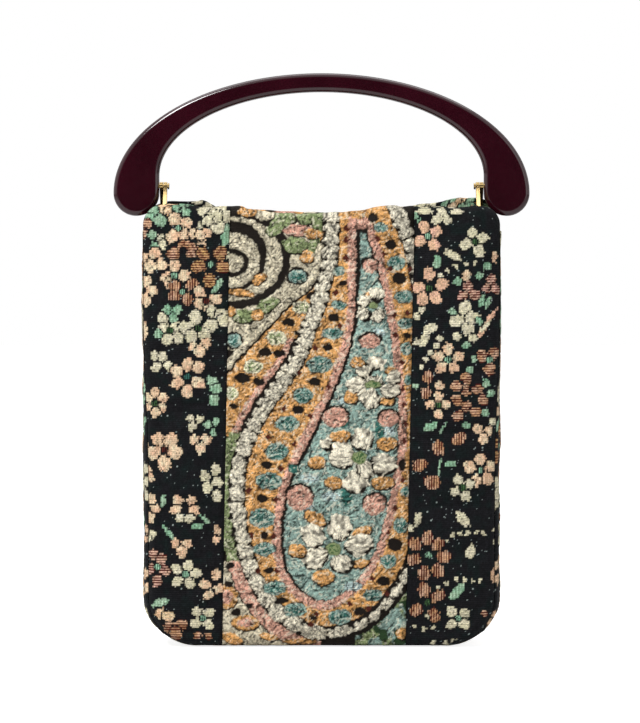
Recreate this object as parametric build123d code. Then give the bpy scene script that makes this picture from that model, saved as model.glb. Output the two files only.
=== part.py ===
from build123d import *
import os
from math import cos, hypot, pi, radians, sin

# Upright cloth handbag with an open mouth and one rigid arched handle.
# Millimetres. X runs to the right as the front is seen, Y runs from the front to the back,
# Z runs up. The origin is the middle of the base, on the surface that the bag stands on.

# Body; the heights of its other parts follow from that of the front
BAG_WIDTH = 232.0
BAG_DEPTH = 60.0
FRONT_HEIGHT = 286.0
FRONT_HEM_DIP = 5.5
BACK_DROP = 1.0
BACK_HEM_RISE = 4.5
BACK_HEM_DIP = 4.0
TOP_CORNER = 16.0
BASE_CORNER = 33.0

# Cloth: padded side cloth, thicker embossed centre strip, turned-in hem, lining
SIDE_CLOTH = 2.4
CENTRE_CLOTH = 3.2
CLOTH_BEVEL = 1.3
HEM_CLOTH = 1.6
HEM_DEPTH = 30.0
LINING = 0.8

# Centre strip: the two seams lean to the left on their way down
STRIP_WIDTH = 118.5
STRIP_TOP_SHIFT = 0.6
STRIP_LEAN = 5.5

# Handle: a flat arched plate with rounded ends, wider than the bag by its overhang on each side
# and higher than the front by its rises
HANDLE_OVERHANG = 18.7
HANDLE_LEG = 29.5
HANDLE_RISE = 84.0
GRIP_HEIGHT = 12.2
HANDLE_THICKNESS = 11.0
HANDLE_BEVEL = 2.4
OUTER_ARCH_RISE = 6.5
INNER_ARCH_RISE = 17.5
GUSSET_CLEARANCE = 9.75

# Hinge: a pin in each inner edge of the handle carries the eyes of two straps
PIN_RISE = 11.0
PIN_RADIUS = 1.1
PIN_DEPTH = 6.0
PIN_HEAD_RADIUS = 2.0
PIN_HEAD = 1.0
EYE_RADIUS = 2.6
EYE_CLEARANCE = 0.08
SIDE_CLEARANCE = 0.3
STRAP_THICKNESS = 2.3
STRAP_WIDTH = 4.4
STRAP_DROP = 23.0
FOOT_WIDTH = 12.0
FOOT_HEIGHT = 18.0
FOOT_THICKNESS = 1.6
FOOT_CORNER = 2.0
RIVET_RADIUS = 1.0
RIVET_HEAD_RADIUS = 2.1
RIVET_HEAD = 0.7
RIVET_BITE = 1.2

# Print: woven figures stand slightly proud of the cloth, small ones on top of large ones
PRINT_RELIEF = 0.4
PRINT_MARGIN = 2.4
PRINT_LINE = 0.9

# The teardrop field of the centre strip: X, Z and the distance out to the rope round it,
# from the tip down the left side, round the bulb and back up to the tip
TEARDROP = [
    (23.4, 284.0, 18.0),
    (22.0, 256.0, 16.0),
    (22.0, 232.0, 21.0),
    (20.0, 204.0, 27.5),
    (12.0, 177.0, 29.0),
    (1.0, 152.0, 33.5),
    (-11.0, 128.0, 36.0),
    (-20.5, 107.0, 34.0),
    (-25.5, 82.0, 28.0),
    (-25.0, 57.0, 21.5),
    (-16.0, 39.0, 19.5),
    (0.0, 30.5, 21.0),
    (14.0, 36.0, 24.0),
    (28.0, 51.0, 25.0),
    (37.5, 72.0, 25.5),
    (44.0, 100.0, 24.5),
    (49.0, 128.0, 22.5),
    (49.0, 158.0, 22.0),
    (45.5, 190.0, 22.0),
    (41.0, 220.0, 23.5),
    (35.0, 248.0, 25.0),
    (29.0, 268.0, 23.0),
    (24.6, 284.0, 20.0),
]
TEARDROP_SIDES = 34
PINK_BAND = 5.2
ROPE_HALF = 4.2
MEDALLION_SPACING = 20.8
MEDALLION_HEIGHT = 4.6
MEDALLION_WIDTH = 6.8
SPOT_RADIUS = 2.7
OVAL_SIDES = 6
BLUNT_RADIUS = 9.2
FEW_PETALS = 4

# Second border, mirrored beyond the rope in the upper left of the strip: distances from the
# rope's middle line to the edges of its pink, orange and cream bands
SECOND_PINK = (7.0, 13.0)
SECOND_ORANGE = (14.0, 28.5)
SECOND_CREAM = (29.5, 36.5)
SECOND_REGION = ((-70.0, 130.0), (-70.0, 214.0), (-4.0, 245.0), (-4.0, 130.0))
LOWER_BAND = (6.0, 13.0)
SAGE_REGION = ((-70.0, 54.0), (-70.0, 129.0), (-30.0, 129.0), (-30.0, 54.0))
PINK_REGION = ((-70.0, 3.0), (-70.0, 53.0), (-16.0, 53.0), (-16.0, 3.0))
LEAF_REGION = ((30.0, 3.0), (30.0, 58.0), (70.0, 58.0), (70.0, 3.0))

# Ringed roundel in the upper left of the strip, cut by the seam
ROUNDEL_CENTRE = (-58.0, 247.0)
ROUNDEL_RINGS = ((0.0, 6.5), (10.0, 16.5), (21.5, 31.0))

# Flowers by their number of petals: X, Z, radius, turn in degrees
FIELD_FLOWERS = {
    5: [
        (31.0, 221.0, 9.0, 40.0), (33.0, 171.0, 14.0, 90.0), (24.0, 121.0, 17.0, 85.0),
        (7.0, 64.0, 17.0, 75.0),
    ],
}
CREAM_FLOWERS = {
    3: [
        (-107.0, 250.0, 8.5, 270.0), (-78.0, 191.0, 5.0, 90.0), (68.0, 203.0, 8.5, 60.0),
    ],
    4: [
        (-66.0, 217.0, 5.0, 30.0), (-103.0, 184.0, 6.5, 45.0), (-77.0, 19.0, 7.0, 45.0),
        (77.0, 279.0, 4.5, 45.0), (97.0, 262.0, 8.5, 40.0), (91.0, 212.0, 11.0, 80.0),
        (88.0, 103.0, 7.5, 35.0), (88.0, 19.0, 8.0, 45.0),
    ],
    5: [
        (-69.0, 277.0, 8.0, 20.0), (-78.0, 206.0, 9.5, 60.0), (-97.0, 203.0, 8.0, 30.0),
        (-72.0, 107.0, 9.5, 50.0), (-88.0, 90.0, 8.0, 90.0), (-88.0, 48.0, 8.0, 70.0),
    ],
}
PEACH_FLOWERS = {
    3: [
        (-78.0, 133.0, 7.5, 270.0), (-90.0, 65.0, 6.5, 270.0), (103.0, 139.0, 7.5, 250.0),
        (93.0, 232.0, 7.0, 90.0),
    ],
    4: [
        (-77.0, 264.0, 6.0, 0.0), (-110.0, 228.0, 7.0, 90.0), (-108.5, 92.0, 6.0, 45.0),
        (-70.0, 41.0, 7.0, 20.0), (67.0, 265.0, 8.0, 60.0), (74.0, 156.0, 5.2, 0.0),
    ],
    5: [
        (-92.0, 271.0, 8.5, 70.0), (-95.0, 241.5, 6.8, 80.0), (-74.0, 228.0, 6.5, 20.0),
        (-86.0, 175.0, 10.0, 90.0), (-101.0, 128.0, 11.0, 270.0), (69.0, 233.0, 11.0, 95.0),
        (81.0, 187.0, 8.5, 95.0), (103.0, 114.5, 9.5, 95.0),
    ],
    6: [
        (-107.0, 158.0, 7.5, 0.0),
    ],
}
STRIPED_FLOWERS = {
    3: [
        (-89.0, 255.0, 8.0, 90.0),
    ],
    4: [
        (-94.0, 13.0, 6.5, 45.0), (107.0, 184.0, 8.5, 45.0), (67.0, 170.0, 6.0, 45.0),
        (67.0, 29.0, 11.0, 75.0),
    ],
    5: [
        (-72.0, 246.0, 11.0, 55.0), (-88.0, 228.0, 6.6, 100.0), (-106.0, 52.0, 9.0, 100.0),
        (68.0, 60.0, 13.0, 85.0),
    ],
    6: [
        (93.0, 161.0, 11.5, 0.0), (88.0, 135.0, 5.0, 0.0), (75.0, 129.0, 5.5, 30.0),
        (64.0, 118.0, 5.0, 0.0), (71.0, 107.0, 6.5, 0.0),
    ],
}

# Leaves: X, Z, half length, half width, turn in degrees
MINT_LEAVES = [
    (-106.0, 278.0, 7.0, 3.5, 120.0),
    (-90.0, 282.0, 5.0, 2.0, 0.0),
    (-63.0, 263.0, 6.0, 2.5, 90.0),
    (-64.5, 234.5, 5.0, 2.0, 75.0),
    (-96.0, 217.0, 6.0, 3.5, 60.0),
    (-70.0, 171.0, 5.5, 4.0, 110.0),
    (-72.0, 145.0, 5.5, 2.5, 40.0),
    (-99.5, 96.0, 4.5, 2.5, 90.0),
    (-79.0, 80.0, 4.0, 2.0, 20.0),
    (-103.0, 29.0, 6.0, 2.5, 20.0),
    (74.0, 249.0, 5.5, 4.0, 80.0),
    (85.0, 239.0, 4.0, 2.5, 40.0),
    (104.0, 224.0, 8.0, 3.0, 75.0),
    (95.5, 184.0, 5.5, 2.5, 60.0),
    (70.0, 143.0, 6.0, 3.5, 20.0),
    (91.5, 144.5, 5.0, 2.5, 60.0),
    (83.0, 119.0, 4.5, 3.0, 0.0),
    (87.0, 37.0, 7.5, 3.5, 50.0),
    (106.0, 152.0, 4.0, 2.5, 45.0),
]
CREAM_LEAVES = [
    (84.0, 253.0, 5.0, 2.0, -35.0),
    (62.0, 82.0, 5.5, 2.5, 85.0),
    (91.0, 83.0, 6.0, 3.5, -50.0),
    (96.0, 62.0, 7.0, 3.0, -60.0),
    (106.0, 208.0, 8.0, 2.5, 60.0),
]
SAGE_LEAVES = [
    (-21.0, 274.0, 11.0, 5.0, -10.0),
    (-4.0, 273.0, 6.0, 4.5, 80.0),
    (-17.0, 259.0, 7.5, 5.0, 0.0),
    (-5.0, 259.0, 7.0, 4.5, 80.0),
]

# Flowers of the gusset's two side walls by their number of petals: Y, Z, radius, turn in degrees
GUSSET_FLOWERS = {
    4: [
        (-10.0, 180.0, 9.0, 45.0), (11.0, 76.0, 9.0, 30.0),
    ],
    5: [
        (-14.0, 248.0, 9.0, 90.0), (12.0, 214.0, 10.0, 60.0), (14.0, 146.0, 9.0, 100.0),
        (-13.0, 112.0, 11.0, 80.0), (-8.0, 46.0, 9.0, 70.0),
    ],
}
GUSSET_LEAVES = [
    (10.0, 240.0, 6.0, 3.0, 60.0),
    (-14.0, 208.0, 6.0, 3.0, 120.0),
    (12.0, 176.0, 6.0, 3.0, 30.0),
    (-12.0, 144.0, 6.0, 3.0, 80.0),
    (13.0, 108.0, 6.0, 3.0, 140.0),
    (-12.0, 76.0, 6.0, 3.0, 50.0),
]

HALF_WIDTH = BAG_WIDTH / 2
HALF_DEPTH = BAG_DEPTH / 2
CLOTH_INSIDE = HALF_DEPTH - SIDE_CLOTH
HEM_INSIDE = CLOTH_INSIDE - HEM_CLOTH
STRIP_FACE = CLOTH_INSIDE + CENTRE_CLOTH
BACK_HEIGHT = FRONT_HEIGHT - BACK_DROP
HEM_BOTTOM = FRONT_HEIGHT - HEM_DEPTH
PIN_HEIGHT = FRONT_HEIGHT + PIN_RISE
HANDLE_TOP = FRONT_HEIGHT + HANDLE_RISE
OUTER_ARCH_BASE = FRONT_HEIGHT + OUTER_ARCH_RISE
INNER_ARCH_BASE = FRONT_HEIGHT + INNER_ARCH_RISE
HALF_HANDLE = HALF_WIDTH + HANDLE_OVERHANG
HALF_HANDLE_INSIDE = HALF_HANDLE - HANDLE_LEG
GUSSET_HEIGHT = OUTER_ARCH_BASE - HANDLE_LEG / 2 - GUSSET_CLEARANCE
FRONTWARDS = (0, -1, 0)
RIGHTWARDS = (1, 0, 0)


def upright(sketch, y_inner, thickness):
    """A sketch in X and Z, thickened towards the front from y_inner behind the front."""
    return extrude(Plane.XZ.offset(y_inner) * sketch, thickness, dir=FRONTWARDS)


def to_back(shape):
    """The same piece on the back of the bag: half a turn about the upright axis."""
    return Rot(0, 0, 180) * shape


def bag_outline(left_height, right_height, dip, inset=0.0):
    """The outline of a face: rounded corners below and above, and a sagging hem."""
    side = HALF_WIDTH - inset
    base = HALF_WIDTH - BASE_CORNER
    top = HALF_WIDTH - TOP_CORNER
    base_arc = BASE_CORNER - inset
    top_arc = TOP_CORNER - inset
    left_arc = left_height - TOP_CORNER
    right_arc = right_height - TOP_CORNER
    hem = [
        (top, right_height - inset),
        (0, (left_height + right_height) / 2 - dip - inset),
        (-top, left_height - inset),
    ]
    edges = [
        Line((-base, inset), (base, inset)),
        CenterArc((base, BASE_CORNER), base_arc, -90, 90),
        Line((side, BASE_CORNER), (side, right_arc)),
        CenterArc((top, right_arc), top_arc, 0, 90),
        Spline(*hem, tangents=[(-1, 0), (-1, 0)]),
        CenterArc((-top, left_arc), top_arc, 90, 90),
        Line((-side, left_arc), (-side, BASE_CORNER)),
        CenterArc((-base, BASE_CORNER), base_arc, 180, 90),
    ]
    return make_face(edges)


def seam_x(side, z):
    """Where a seam of the centre strip stands at a height; side is -1 left, +1 right."""
    lean = STRIP_LEAN * (z / FRONT_HEIGHT - 1)
    return STRIP_TOP_SHIFT + side * STRIP_WIDTH / 2 + lean


def region(left, right):
    """The part of a face between two seams; None stands for the side of the bag."""
    low, high = -10.0, HANDLE_TOP
    left_low = seam_x(left, low) if left else -BAG_WIDTH
    left_high = seam_x(left, high) if left else -BAG_WIDTH
    right_low = seam_x(right, low) if right else BAG_WIDTH
    right_high = seam_x(right, high) if right else BAG_WIDTH
    corners = [(left_low, low), (right_low, low), (right_high, high), (left_high, high)]
    return make_face(Polyline(*corners, close=True))


REGIONS = {
    "left_floral_panel": region(None, -1),
    "paisley_panel": region(-1, 1),
    "right_floral_panel": region(1, None),
}


def face_panels(heights, mirror_names):
    """The three sewn strips of one face, each with its hem turned in at the top."""
    outline = bag_outline(*heights)
    above_hem = make_face(Polyline(
        (-BAG_WIDTH, HEM_BOTTOM), (BAG_WIDTH, HEM_BOTTOM),
        (BAG_WIDTH, HANDLE_TOP), (-BAG_WIDTH, HANDLE_TOP), close=True))
    turned_in = bag_outline(*heights, inset=SIDE_CLOTH) & above_hem
    hem = upright(turned_in, HEM_INSIDE, HEM_CLOTH)
    panels = {}
    for name, strip in REGIONS.items():
        cloth = CENTRE_CLOTH if name == "paisley_panel" else SIDE_CLOTH
        sheet = upright(outline, CLOTH_INSIDE, cloth)
        front_face = sheet.faces().sort_by(Axis.Y)[0]
        sheet = chamfer(front_face.edges(), CLOTH_BEVEL)
        prism = upright(strip, 0, HALF_DEPTH + CENTRE_CLOTH)
        if mirror_names:
            name = mirror_names[name]
        panels[name] = (sheet + hem) & prism
    return panels


def band_of_cloth(inset, thickness, half_depth, height):
    """A sheet that follows the sides and base of the face outline, open at the top."""
    heights = (FRONT_HEIGHT, FRONT_HEIGHT, 0)
    profile = bag_outline(*heights, inset=inset) - bag_outline(*heights, inset=inset + thickness)
    return below(extrude(Plane.XZ * profile, half_depth, both=True), height)


def below(shape, height):
    """The part of a shape under a height."""
    size = 2 * HANDLE_TOP
    return shape & Pos(0, 0, height - size / 2) * Box(size, size, size)


def gusset_band():
    """The one-piece cloth strip between the front and the back."""
    return band_of_cloth(0, SIDE_CLOTH, CLOTH_INSIDE, GUSSET_HEIGHT)


def lining():
    """The lining: one thin sewn pocket inside the cloth, up to the turned-in hem."""
    heights = (FRONT_HEIGHT, FRONT_HEIGHT, 0)
    wall = band_of_cloth(SIDE_CLOTH, LINING, CLOTH_INSIDE, HEM_BOTTOM)
    sheet = upright(bag_outline(*heights, inset=SIDE_CLOTH), CLOTH_INSIDE - LINING, LINING)
    sheet = below(sheet, HEM_BOTTOM)
    return wall + sheet + to_back(sheet)


def handle():
    """The arched plate: two half ellipses, straight inner legs and round ends."""
    outer = HALF_HANDLE
    inner = HALF_HANDLE_INSIDE
    end_radius = HANDLE_LEG / 2
    end_x = inner + end_radius
    outer_rise = HANDLE_TOP - OUTER_ARCH_BASE
    inner_rise = HANDLE_TOP - GRIP_HEIGHT - INNER_ARCH_BASE
    edges = [
        EllipticalCenterArc((0, OUTER_ARCH_BASE), outer, outer_rise, 0, arc_size=180),
        CenterArc((-end_x, OUTER_ARCH_BASE), end_radius, 180, 180),
        Line((-inner, OUTER_ARCH_BASE), (-inner, INNER_ARCH_BASE)),
        EllipticalCenterArc((0, INNER_ARCH_BASE), inner, inner_rise, 0, arc_size=180),
        Line((inner, INNER_ARCH_BASE), (inner, OUTER_ARCH_BASE)),
        CenterArc((end_x, OUTER_ARCH_BASE), end_radius, 180, 180),
    ]
    plate = extrude(Plane.XZ * make_face(edges), HANDLE_THICKNESS / 2, both=True)
    flat_faces = plate.faces().filter_by(Axis.Y)
    plate = chamfer(flat_faces.edges(), HANDLE_BEVEL)
    bore = x_cylinder(PIN_RADIUS, -inner - PIN_DEPTH, -inner)
    return plate - bore - mirror(bore, Plane.YZ)


def x_cylinder(radius, x_from, x_to):
    """A round bar along X on the hinge axis."""
    middle = (x_from + x_to) / 2
    return Pos(middle, 0, PIN_HEIGHT) * Rot(0, 90, 0) * Cylinder(radius, x_to - x_from)


def strap_x(order):
    """The span in X of a left strap: order 0 is the outer one, beside the handle."""
    pitch = STRAP_THICKNESS + SIDE_CLEARANCE
    start = -HALF_HANDLE_INSIDE + SIDE_CLEARANCE + order * pitch
    return start, start + STRAP_THICKNESS


def left_pin():
    """The hinge pin: pressed into the handle, with a head beyond the two straps."""
    head_from = strap_x(1)[1] + SIDE_CLEARANCE
    shank = x_cylinder(PIN_RADIUS, -HALF_HANDLE_INSIDE - PIN_DEPTH, head_from)
    return shank + x_cylinder(PIN_HEAD_RADIUS, head_from, head_from + PIN_HEAD)


def foot_frame(order):
    """Where a left strap's foot lies on the hem: its middle in X and in Z."""
    foot_x = strap_x(order)[0] + FOOT_WIDTH / 2
    foot_z = PIN_HEIGHT - STRAP_DROP - FOOT_HEIGHT / 2 + STRAP_WIDTH
    return foot_x, foot_z


def left_front_strap(order):
    """A strap from the pin down to the inside of the front hem, with its eye and foot."""
    reach = HEM_INSIDE - FOOT_THICKNESS / 2
    run = hypot(reach, STRAP_DROP)
    across = (STRAP_DROP / run * STRAP_WIDTH / 2, -reach / run * STRAP_WIDTH / 2)
    arm = make_face(Polyline(
        (across[0], PIN_HEIGHT + across[1]),
        (-across[0], PIN_HEIGHT - across[1]),
        (-reach - across[0], PIN_HEIGHT - STRAP_DROP - across[1]),
        (-reach + across[0], PIN_HEIGHT - STRAP_DROP + across[1]), close=True))
    beyond_hem = Pos(-HEM_INSIDE - STRAP_WIDTH / 2, PIN_HEIGHT - STRAP_DROP)
    arm -= beyond_hem * Rectangle(STRAP_WIDTH, 2 * STRAP_DROP)
    eye = Pos(0, PIN_HEIGHT) * Circle(EYE_RADIUS)
    hole = Pos(0, PIN_HEIGHT) * Circle(PIN_RADIUS + EYE_CLEARANCE)
    x_from = strap_x(order)[0]
    profile = Plane.YZ.offset(x_from) * (arm + eye - hole)
    link = extrude(profile, STRAP_THICKNESS, dir=RIGHTWARDS)
    foot_x, foot_z = foot_frame(order)
    plate = Pos(foot_x, foot_z) * RectangleRounded(FOOT_WIDTH, FOOT_HEIGHT, FOOT_CORNER)
    foot = upright(plate, HEM_INSIDE - FOOT_THICKNESS, FOOT_THICKNESS)
    strap = link + foot
    return strap - rivet_bar(order, RIVET_RADIUS, HEM_INSIDE - FOOT_THICKNESS, FOOT_THICKNESS)


def rivet_bar(order, radius, y_inner, length):
    """A round bar through the middle of a left strap's foot, from y_inner towards the front."""
    foot_x, foot_z = foot_frame(order)
    place = Pos(foot_x + STRAP_THICKNESS / 2, foot_z)
    return upright(place * Circle(radius), y_inner, length)


def left_front_rivet(order):
    """The rivet that holds a foot: a flat head inside and a shank clenched in the hem."""
    y_foot = HEM_INSIDE - FOOT_THICKNESS
    shank = rivet_bar(order, RIVET_RADIUS, y_foot, FOOT_THICKNESS + RIVET_BITE)
    return shank + rivet_bar(order, RIVET_HEAD_RADIUS, y_foot - RIVET_HEAD, RIVET_HEAD)


def across_strip(width_of):
    """A curve that follows the teardrop at a distance set by width_of(reach)."""
    points = []
    last = len(TEARDROP) - 1
    for index, (x, z, reach) in enumerate(TEARDROP):
        x_before, z_before, _ = TEARDROP[max(index - 1, 0)]
        x_after, z_after, _ = TEARDROP[min(index + 1, last)]
        length = hypot(x_after - x_before, z_after - z_before)
        out_x = (z_after - z_before) / length
        out_z = -(x_after - x_before) / length
        width = width_of(reach)
        points.append((x + out_x * width, z + out_z * width))
    curve = Spline(*points)
    return Polyline(*[curve @ (step / TEARDROP_SIDES) for step in range(TEARDROP_SIDES + 1)])


def inside_curve(curve):
    """The face that a teardrop curve encloses, closed across its tip."""
    return make_face([curve, Line(curve @ 1, curve @ 0)])


def band(inner_width_of, outer_width_of):
    """The ring between two curves round the teardrop."""
    outer = inside_curve(across_strip(outer_width_of))
    return outer - inside_curve(across_strip(inner_width_of))


def rope_band(distances):
    """A band at two distances outside the rope's middle line."""
    near, far = distances
    return band(lambda reach: reach + near, lambda reach: reach + far)


def polygon(points):
    return make_face(Polyline(*points, close=True))


def flower(petals, x, z, radius, turn):
    """A stepped woven flower with notches, its petals blunt unless they are small and many."""
    spread = 0.27 * 360 / petals
    notch = radius * (0.5 if petals >= FEW_PETALS else 0.35)
    tips = (-spread, spread) if radius > BLUNT_RADIUS or petals <= FEW_PETALS else (0,)
    points = []
    for index in range(petals):
        middle = turn + index * 360 / petals
        corners = [(middle + tip, radius) for tip in tips] + [(middle + 180 / petals, notch)]
        for angle, reach in corners:
            points.append((x + reach * cos(radians(angle)), z + reach * sin(radians(angle))))
    return polygon(points)


def flowers(table):
    """The outline of each flower in a table."""
    return [flower(petals, *place) for petals, places in table.items() for place in places]


def leaf(x, z, half_length, half_width, turn):
    """A six-sided woven leaf, pointed at both ends."""
    along = (cos(radians(turn)), sin(radians(turn)))
    points = []
    for share, side in ((-1, 0), (-0.4, -1), (0.4, -1), (1, 0), (0.4, 1), (-0.4, 1)):
        u = share * half_length
        v = side * half_width
        points.append((x + u * along[0] - v * along[1], z + u * along[1] + v * along[0]))
    return polygon(points)


def oval(x, z, half_width, half_height):
    """A woven medallion or spot, stepped into straight sides."""
    steps = [index * 2 * pi / OVAL_SIDES for index in range(OVAL_SIDES)]
    return polygon([(x + half_width * cos(a), z + half_height * sin(a)) for a in steps])


def along_border():
    """Places along the middle of the orange band: medallions and spots in turn."""
    inner = across_strip(lambda reach: PINK_BAND)
    middle = across_strip(lambda reach: (PINK_BAND + reach - ROPE_HALF) / 2)
    medallions, spots = [], []
    count = int(middle.length / MEDALLION_SPACING * 2)
    for index in range(1, count):
        place = middle @ (index / count)
        width = inner.distance_to(Vertex(place.X, place.Y, 0))
        group = spots if index % 2 else medallions
        group.append((place.X, place.Y, width))
    return medallions, spots


def strip_prints():
    """Fields of colour of the centre strip: those on the cloth and those on top of them."""
    line = PRINT_LINE
    field = inside_curve(across_strip(lambda reach: -line))
    pink = band(lambda reach: line / 2, lambda reach: PINK_BAND)
    orange = band(lambda reach: PINK_BAND + line / 2, lambda reach: reach - ROPE_HALF - line)
    rope = rope_band((-ROPE_HALF, ROPE_HALF))
    second = polygon(SECOND_REGION)
    disc = Pos(*ROUNDEL_CENTRE) * Circle(ROUNDEL_RINGS[2][1] + PRINT_MARGIN)
    rings = [Pos(*ROUNDEL_CENTRE) * Circle(ROUNDEL_RINGS[0][1])]
    for inner, outer in ROUNDEL_RINGS[1:]:
        rings.append(Pos(*ROUNDEL_CENTRE) * (Circle(outer) - Circle(inner)))
    base = {
        "teal": [field, rope_band(LOWER_BAND) & polygon(LEAF_REGION)],
        "pink": [pink, rope_band(SECOND_PINK) & second, rope_band(LOWER_BAND) & polygon(PINK_REGION)],
        "orange": [orange, (rope_band(SECOND_ORANGE) & second) - disc],
        "cream": [rope, (rope_band(SECOND_CREAM) & second) - disc] + rings,
        "green": [leaf(*one) for one in SAGE_LEAVES] + [rope_band(LOWER_BAND) & polygon(SAGE_REGION)],
    }
    medallions, spots = along_border()
    top = {
        "teal": [oval(x, z, min(MEDALLION_WIDTH, 0.8 * w), MEDALLION_HEIGHT) for x, z, w in medallions],
        "dark": [oval(x, z, SPOT_RADIUS, SPOT_RADIUS) for x, z, w in spots],
        "cream": flowers(FIELD_FLOWERS),
    }
    return base, top


def side_prints():
    """Flowers and leaves of the two floral strips."""
    return {
        "cream": flowers(CREAM_FLOWERS) + [leaf(*one) for one in CREAM_LEAVES],
        "peach": flowers(PEACH_FLOWERS),
        "striped": flowers(STRIPED_FLOWERS),
        "green": [leaf(*one) for one in MINT_LEAVES],
    }


def solids_of(shape):
    return list(shape.solids())


def printed_face(heights):
    """Every printed figure of one face, as thin solids grouped by colour."""
    inside = bag_outline(*heights, inset=PRINT_MARGIN)
    strip = inside & offset(REGIONS["paisley_panel"], -PRINT_LINE)
    sides = inside - offset(REGIONS["paisley_panel"], PRINT_LINE)
    prints = {}
    base, top = strip_prints()
    layers = (
        (base, strip, STRIP_FACE),
        (top, strip, STRIP_FACE + PRINT_RELIEF),
        (side_prints(), sides, HALF_DEPTH),
    )
    for groups, area, y_inner in layers:
        for colour, figures in groups.items():
            for figure in figures:
                kept = figure & area
                if kept:
                    relief = upright(kept, y_inner, PRINT_RELIEF)
                    prints.setdefault(colour, []).extend(solids_of(relief))
    return prints


def gusset_prints():
    """Flowers and leaves on the gusset's two side walls."""
    figures = {
        "gusset_flowers": flowers(GUSSET_FLOWERS),
        "gusset_leaves": [leaf(*one) for one in GUSSET_LEAVES],
    }
    prints = {}
    for name, outlines in figures.items():
        prints[name] = []
        for outline in outlines:
            right = extrude(Plane.YZ.offset(HALF_WIDTH) * outline, PRINT_RELIEF, dir=RIGHTWARDS)
            prints[name] += solids_of(right) + solids_of(Rot(0, 0, 180) * right)
    return prints


def bag():
    """Every piece of the bag by its name."""
    front_heights = (FRONT_HEIGHT, FRONT_HEIGHT, FRONT_HEM_DIP)
    back_heights = (BACK_HEIGHT + BACK_HEM_RISE, BACK_HEIGHT, BACK_HEM_DIP)
    pieces = {}
    swapped = {
        "left_floral_panel": "right_floral_panel",
        "paisley_panel": "paisley_panel",
        "right_floral_panel": "left_floral_panel",
    }
    for name, panel in face_panels(front_heights, None).items():
        pieces["front_" + name] = panel
    for name, panel in face_panels(back_heights, swapped).items():
        pieces["back_" + name] = to_back(panel)
    for colour, solids in printed_face(front_heights).items():
        pieces["front_" + colour + "_print"] = Compound(children=solids)
    for colour, solids in printed_face(back_heights).items():
        pieces["back_" + colour + "_print"] = to_back(Compound(children=solids))
    for name, solids in gusset_prints().items():
        pieces[name] = Compound(children=solids)
    pieces["gusset_band"] = gusset_band()
    pieces["lining"] = lining()
    pieces["handle"] = handle()
    pieces["left_hinge_pin"] = left_pin()
    pieces["right_hinge_pin"] = mirror(left_pin(), Plane.YZ)
    add_straps(pieces)
    return pieces


def add_straps(pieces):
    """The four straps and their rivets: the inner ones go to the front, the outer ones back."""
    rivets = []
    for order, face in ((1, "front"), (0, "back")):
        strap = left_front_strap(order)
        for side in ("left", "right"):
            flips = []
            if face == "back":
                flips.append(Plane.XZ)
            if side == "right":
                flips.append(Plane.YZ)
            placed = strap
            rivet = left_front_rivet(order)
            for plane in flips:
                placed = mirror(placed, plane)
                rivet = mirror(rivet, plane)
            pieces[side + "_" + face + "_strap"] = placed
            rivets.append(rivet)
            panel = face + "_" + side + "_floral_panel"
            pieces[panel] = pieces[panel] - rivet
    pieces["strap_rivets"] = Compound(children=[rivet.solid() for rivet in rivets])


os.makedirs("parts", exist_ok=True)
for name, piece in bag().items():
    export_step(piece, "parts/" + name + ".step")
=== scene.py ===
import math
import bpy
import numpy as np
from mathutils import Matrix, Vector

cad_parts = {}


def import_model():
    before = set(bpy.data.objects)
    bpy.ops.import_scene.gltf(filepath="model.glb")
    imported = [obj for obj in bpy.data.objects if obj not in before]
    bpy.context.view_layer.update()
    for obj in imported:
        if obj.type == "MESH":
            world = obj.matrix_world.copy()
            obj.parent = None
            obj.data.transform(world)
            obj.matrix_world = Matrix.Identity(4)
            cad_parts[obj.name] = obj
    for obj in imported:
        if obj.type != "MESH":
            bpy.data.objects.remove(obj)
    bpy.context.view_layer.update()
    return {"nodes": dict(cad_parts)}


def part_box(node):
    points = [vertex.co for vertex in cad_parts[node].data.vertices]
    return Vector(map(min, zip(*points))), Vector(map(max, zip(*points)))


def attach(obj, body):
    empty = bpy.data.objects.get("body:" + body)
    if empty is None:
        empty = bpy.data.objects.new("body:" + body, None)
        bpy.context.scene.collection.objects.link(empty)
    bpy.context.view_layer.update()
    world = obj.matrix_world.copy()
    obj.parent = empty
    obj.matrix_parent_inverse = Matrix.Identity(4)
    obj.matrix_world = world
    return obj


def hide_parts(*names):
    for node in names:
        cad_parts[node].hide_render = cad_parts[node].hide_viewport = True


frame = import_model()

# Lengths of the cloth and its print are millimetres in the frame of a face: x to the right as
# the face is seen, z up, depth outwards from the middle of the bag. MM turns them to metres.
MM = 0.001


def box_mm(node):
    """The lowest and highest corner of a CAD node in millimetres."""
    low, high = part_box(node)
    return np.array(low) / MM, np.array(high) / MM


# Sizes that come from the frame
HALF_WIDTH, _, GUSSET_TOP = box_mm("gusset_band")[1]
HALF_DEPTH = -box_mm("front_left_floral_panel")[0][1]
HEIGHT = box_mm("front_left_floral_panel")[1][2]
LINING_TOP = box_mm("lining")[1][2]

# Form of the sewn shell
TOP_BULGE = 1.2
BASE_BULGE = 4.2
BULGE_SPAN = (215.0, 110.0)
BASE_LIFT = 1.0
BASE_CORNER = 31.0
TOP_CORNER = 14.0
EDGE_ROUND = 5.5
CROWN = 1.3
HEM_ROLL = 1.7
HEM_DEPTH = 30.0
HEM_STEP = 1.25
HEM_RIPPLE = 1.1
# The hem's dips pull the cloth of a face down to this height
HEM_PULL = 120.0
SEAM_VALLEY = 1.3
SEAM_WIDTH = 1.5
SEAM_PUCKER = 1.1
# How far the seams lie in from the solids' face
SHELL_INSET = 2.0
SEAM_ALLOWANCE = 2.2
EDGE_TUCK = 0.3
CENTRE_PROUD = 0.6
# How far the print of the centre strip is let into its cloth
PRINT_SINK = 0.9
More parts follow.
